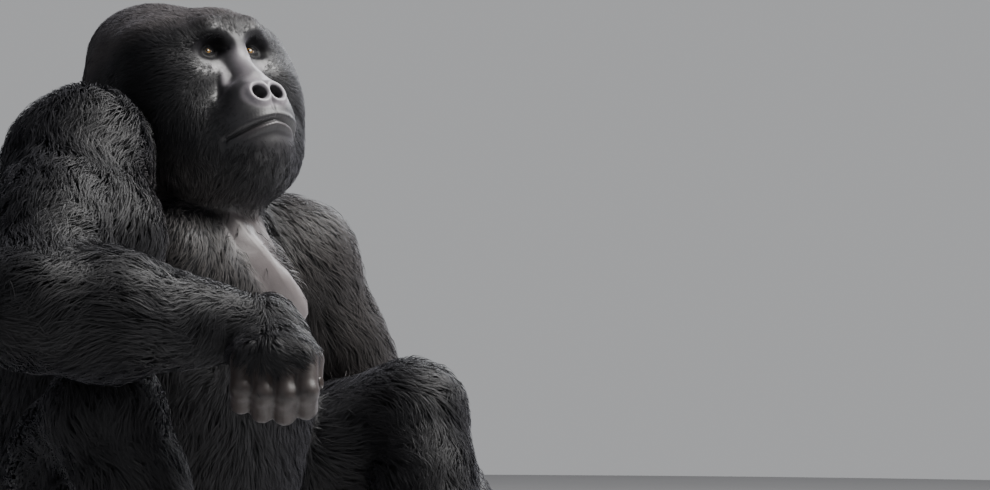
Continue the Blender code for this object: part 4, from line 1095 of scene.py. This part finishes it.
def coat_material():
    m, nt, b, n, link = nodes_of('coat')
    co = n('ShaderNodeTexCoord').outputs['Object']
    patchy = noise(n, link, co, 9.0, 4.0)
    locks = noise(n, link, co, 70.0, 3.0)
    along = attr(n, 'along')
    rand = attr(n, 'rand')
    body = mixer(n, link, patchy, (0.0080, 0.0078, 0.0088), (0.0175, 0.0168, 0.0184))
    # crown: own brownish tone plus painted sheen on the top of the head
    crown = mixer(n, link, patchy, (0.071, 0.061, 0.058), (0.122, 0.105, 0.101))
    # chest hair: own lighter tone of the sparse hair, plus painted sheen
    chest = mixer(n, link, patchy, (0.058, 0.052, 0.049), (0.095, 0.086, 0.081))
    # painted light: lighter coat on the upper left arm, which faces the light
    grey = mixer(n, link, patchy, (0.041, 0.036, 0.033), (0.072, 0.063, 0.059))
    body = mixer(n, link, attr(n, 'grey'), body, grey)
    col = mixer(n, link, maths(n, link, 'MULTIPLY', attr(n, 'thin'), 0.8), body, chest)
    col = mixer(n, link, maths(n, link, 'MULTIPLY', attr(n, 'crown'), 0.85), col, crown)
    # painted shade: each tuft darker toward its root, where the coat shades itself
    root_shade = mixer(n, link, 0.62, col, (0.005, 0.005, 0.006))
    ramp = n('ShaderNodeMapRange', interpolation_type='SMOOTHSTEP')
    link(along, ramp.inputs['Value'])
    ramp.inputs['From Min'].default_value, ramp.inputs['From Max'].default_value = 0.05, 0.75
    col = mixer(n, link, ramp.outputs[0], root_shade, col)
    gain = maths(n, link, 'ADD', 0.66, maths(n, link, 'ADD', maths(n, link, 'MULTIPLY', rand, 0.34), maths(n, link, 'MULTIPLY', attr(n, 'lock'), 0.30)))
    gain = maths(n, link, 'MULTIPLY', gain, maths(n, link, 'ADD', 0.75, maths(n, link, 'MULTIPLY', locks, 0.5)))
    vec_ = n('ShaderNodeVectorMath', operation='SCALE')
    link(col, vec_.inputs[0])
    link(gain, vec_.inputs['Scale'])
    link(vec_.outputs[0], b.inputs['Base Color'])
    b.inputs['Roughness'].default_value = 0.55
    b.inputs['Specular IOR Level'].default_value = 0.36
    b.inputs['Sheen Weight'].default_value = 0.14
    b.inputs['Sheen Roughness'].default_value = 0.5
    b.inputs['Sheen Tint'].default_value = (0.80, 0.80, 0.92, 1.0)
    return m

def eye_material():
    m, nt, b, n, link = nodes_of('eye')
    co = n('ShaderNodeTexCoord').outputs['Object']
    sep = n('ShaderNodeSeparateXYZ')
    link(co, sep.inputs[0])
    x, y, z = sep.outputs
    r = maths(n, link, 'SQRT', maths(n, link, 'ADD', maths(n, link, 'MULTIPLY', x, x), maths(n, link, 'MULTIPLY', y, y)))
    ang = maths(n, link, 'ARCTAN2', y, x)
    streaks = maths(n, link, 'ADD', maths(n, link, 'MULTIPLY', maths(n, link, 'SINE', maths(n, link, 'MULTIPLY', ang, 37.0)), 0.12), noise(n, link, co, 700.0, 3.0))
    iris = mixer(n, link, streaks, (0.150, 0.076, 0.020), (0.460, 0.270, 0.085))
    edge = n('ShaderNodeMapRange', interpolation_type='SMOOTHSTEP')
    link(r, edge.inputs['Value'])
    edge.inputs['From Min'].default_value, edge.inputs['From Max'].default_value = 0.0047, 0.0058
    white = mixer(n, link, noise(n, link, co, 260.0, 3.0), (0.170, 0.130, 0.105), (0.320, 0.265, 0.225))
    inner = mixer(n, link, edge.outputs[0], iris, (0.020, 0.008, 0.004))
    outer = n('ShaderNodeMapRange', interpolation_type='SMOOTHSTEP')
    link(r, outer.inputs['Value'])
    outer.inputs['From Min'].default_value, outer.inputs['From Max'].default_value = 0.0058, 0.0068
    col = mixer(n, link, outer.outputs[0], inner, white)
    pupil = n('ShaderNodeMapRange', interpolation_type='SMOOTHSTEP')
    link(r, pupil.inputs['Value'])
    pupil.inputs['From Min'].default_value, pupil.inputs['From Max'].default_value = 0.0019, 0.0024
    col = mixer(n, link, pupil.outputs[0], (0.001, 0.001, 0.001), col)
    front = maths(n, link, 'GREATER_THAN', z, 0.0)
    col = mixer(n, link, front, white, col)
    link(col, b.inputs['Base Color'])
    b.inputs['Roughness'].default_value = 0.06
    b.inputs['Coat Weight'].default_value = 1.0
    b.inputs['Coat Roughness'].default_value = 0.03
    return m

def nail_material():
    m, nt, b, n, link = nodes_of('nail')
    co = n('ShaderNodeTexCoord').outputs['Object']
    col = mixer(n, link, noise(n, link, co, 160.0, 4.0), (0.020, 0.016, 0.015), (0.060, 0.046, 0.040))
    link(col, b.inputs['Base Color'])
    b.inputs['Roughness'].default_value = 0.30
    bump = n('ShaderNodeBump')
    bump.inputs['Strength'].default_value = 0.25
    bump.inputs['Distance'].default_value = 0.0004
    link(noise(n, link, co, 420.0, 3.0), bump.inputs['Height'])
    link(bump.outputs[0], b.inputs['Normal'])
    return m

SKIN, COAT, EYES, NAIL = skin_material(), coat_material(), eye_material(), nail_material()
skin.data.materials.clear()
skin.data.materials.append(SKIN)
for o, _ in coats:
    o.data.materials.append(COAT)
for o in eyeballs:
    o.data.materials.append(EYES)
for o in nails:
    o.data.materials.append(NAIL)

# ---------------------------------------------------------------- into the frame
for o in [skin] + [c for c, _ in coats]:
    set_coords(o.data, coords(o.data) + SETTLE)
for o in [skin] + [c for c, _ in coats] + eyeballs + nails:
    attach(o, 'root')

# ---------------------------------------------------------------- floor, light and camera
ring = [(5.2 * math.cos(i * math.pi / 48), 5.2 * math.sin(i * math.pi / 48), 0.0) for i in range(96)]
floor = mesh_object('floor', ring, [tuple(range(96))], False)
fm, fnt, fb, fn_, flink = nodes_of('floor_finish')
fco = fn_('ShaderNodeTexCoord').outputs['Object']
flink(mixer(fn_, flink, noise(fn_, flink, fco, 3.0, 3.0), (0.60, 0.60, 0.61), (0.66, 0.66, 0.67)), fb.inputs['Base Color'])
fb.inputs['Roughness'].default_value = 0.75
floor.data.materials.append(fm)

world = bpy.data.worlds.new('studio')
bpy.context.scene.world = world
world.use_nodes = True
world.node_tree.nodes['Background'].inputs[0].default_value = (0.80, 0.82, 0.88, 1.0)
world.node_tree.nodes['Background'].inputs[1].default_value = 0.15
seen = world.node_tree.nodes.new('ShaderNodeBackground')
seen.inputs[0].default_value, seen.inputs[1].default_value = (0.80, 0.81, 0.83, 1.0), 0.50
rays = world.node_tree.nodes.new('ShaderNodeLightPath')
either = world.node_tree.nodes.new('ShaderNodeMixShader')
world.node_tree.links.new(rays.outputs['Is Camera Ray'], either.inputs[0])
world.node_tree.links.new(world.node_tree.nodes['Background'].outputs[0], either.inputs[1])
world.node_tree.links.new(seen.outputs[0], either.inputs[2])
world.node_tree.links.new(either.outputs[0], world.node_tree.nodes['World Output'].inputs[0])
MIDDLE = Vector(vec(0, -0.20, 0.60) + SETTLE)
def lamp(name, at, size, power, colour=(1, 1, 1), aim=None):
    l = bpy.data.lights.new(name, 'AREA')
    l.shape, l.size, l.energy, l.color = 'DISK', size, power, colour
    o = bpy.data.objects.new(name, l)
    bpy.context.scene.collection.objects.link(o)
    o.location = MIDDLE + Vector(at)
    o.rotation_euler = ((aim or MIDDLE) - o.location).to_track_quat('-Z', 'Y').to_euler()
lamp('key', (1.45, -1.65, 2.55), 1.9, 235, (1.0, 0.985, 0.965))
lamp('rim', (2.4, 0.6, 1.6), 1.6, 60, (0.95, 0.97, 1.0))
lamp('fill', (-3.0, -1.8, 1.2), 2.4, 8, (0.92, 0.95, 1.0))

AZ, EL, DIST = math.radians(-42.0), math.radians(-3.0), 6.0
back = Vector((math.sin(AZ) * math.cos(EL), -math.cos(AZ) * math.cos(EL), math.sin(EL)))
right = Vector((math.cos(AZ), math.sin(AZ), 0))
up = back.cross(right)
focal = 640 * DIST                       # pixels
cam = bpy.data.objects.new('camera', bpy.data.cameras.new('camera'))
bpy.context.scene.collection.objects.link(cam)
cam.data.sensor_width, cam.data.lens = 36, 36 * focal / 990
dx, dy = (189 - 495) / focal, -(93 - 245) / focal
yaw, pitch = math.atan2(dx, 1), math.atan2(dy, math.sqrt(1 + dx * dx))
turned = Matrix.Rotation(yaw, 3, (0, 0, 1)) @ Matrix((right, up, back)).transposed() @ Matrix.Rotation(-pitch, 3, 'X')
aim = Vector(vec(0, -0.210, 0.833) + SETTLE)
cam.matrix_world = Matrix.Translation(aim + back * DIST) @ turned.to_4x4()
cam.data.clip_start, cam.data.clip_end = 0.1, 200
bpy.context.scene.camera = cam
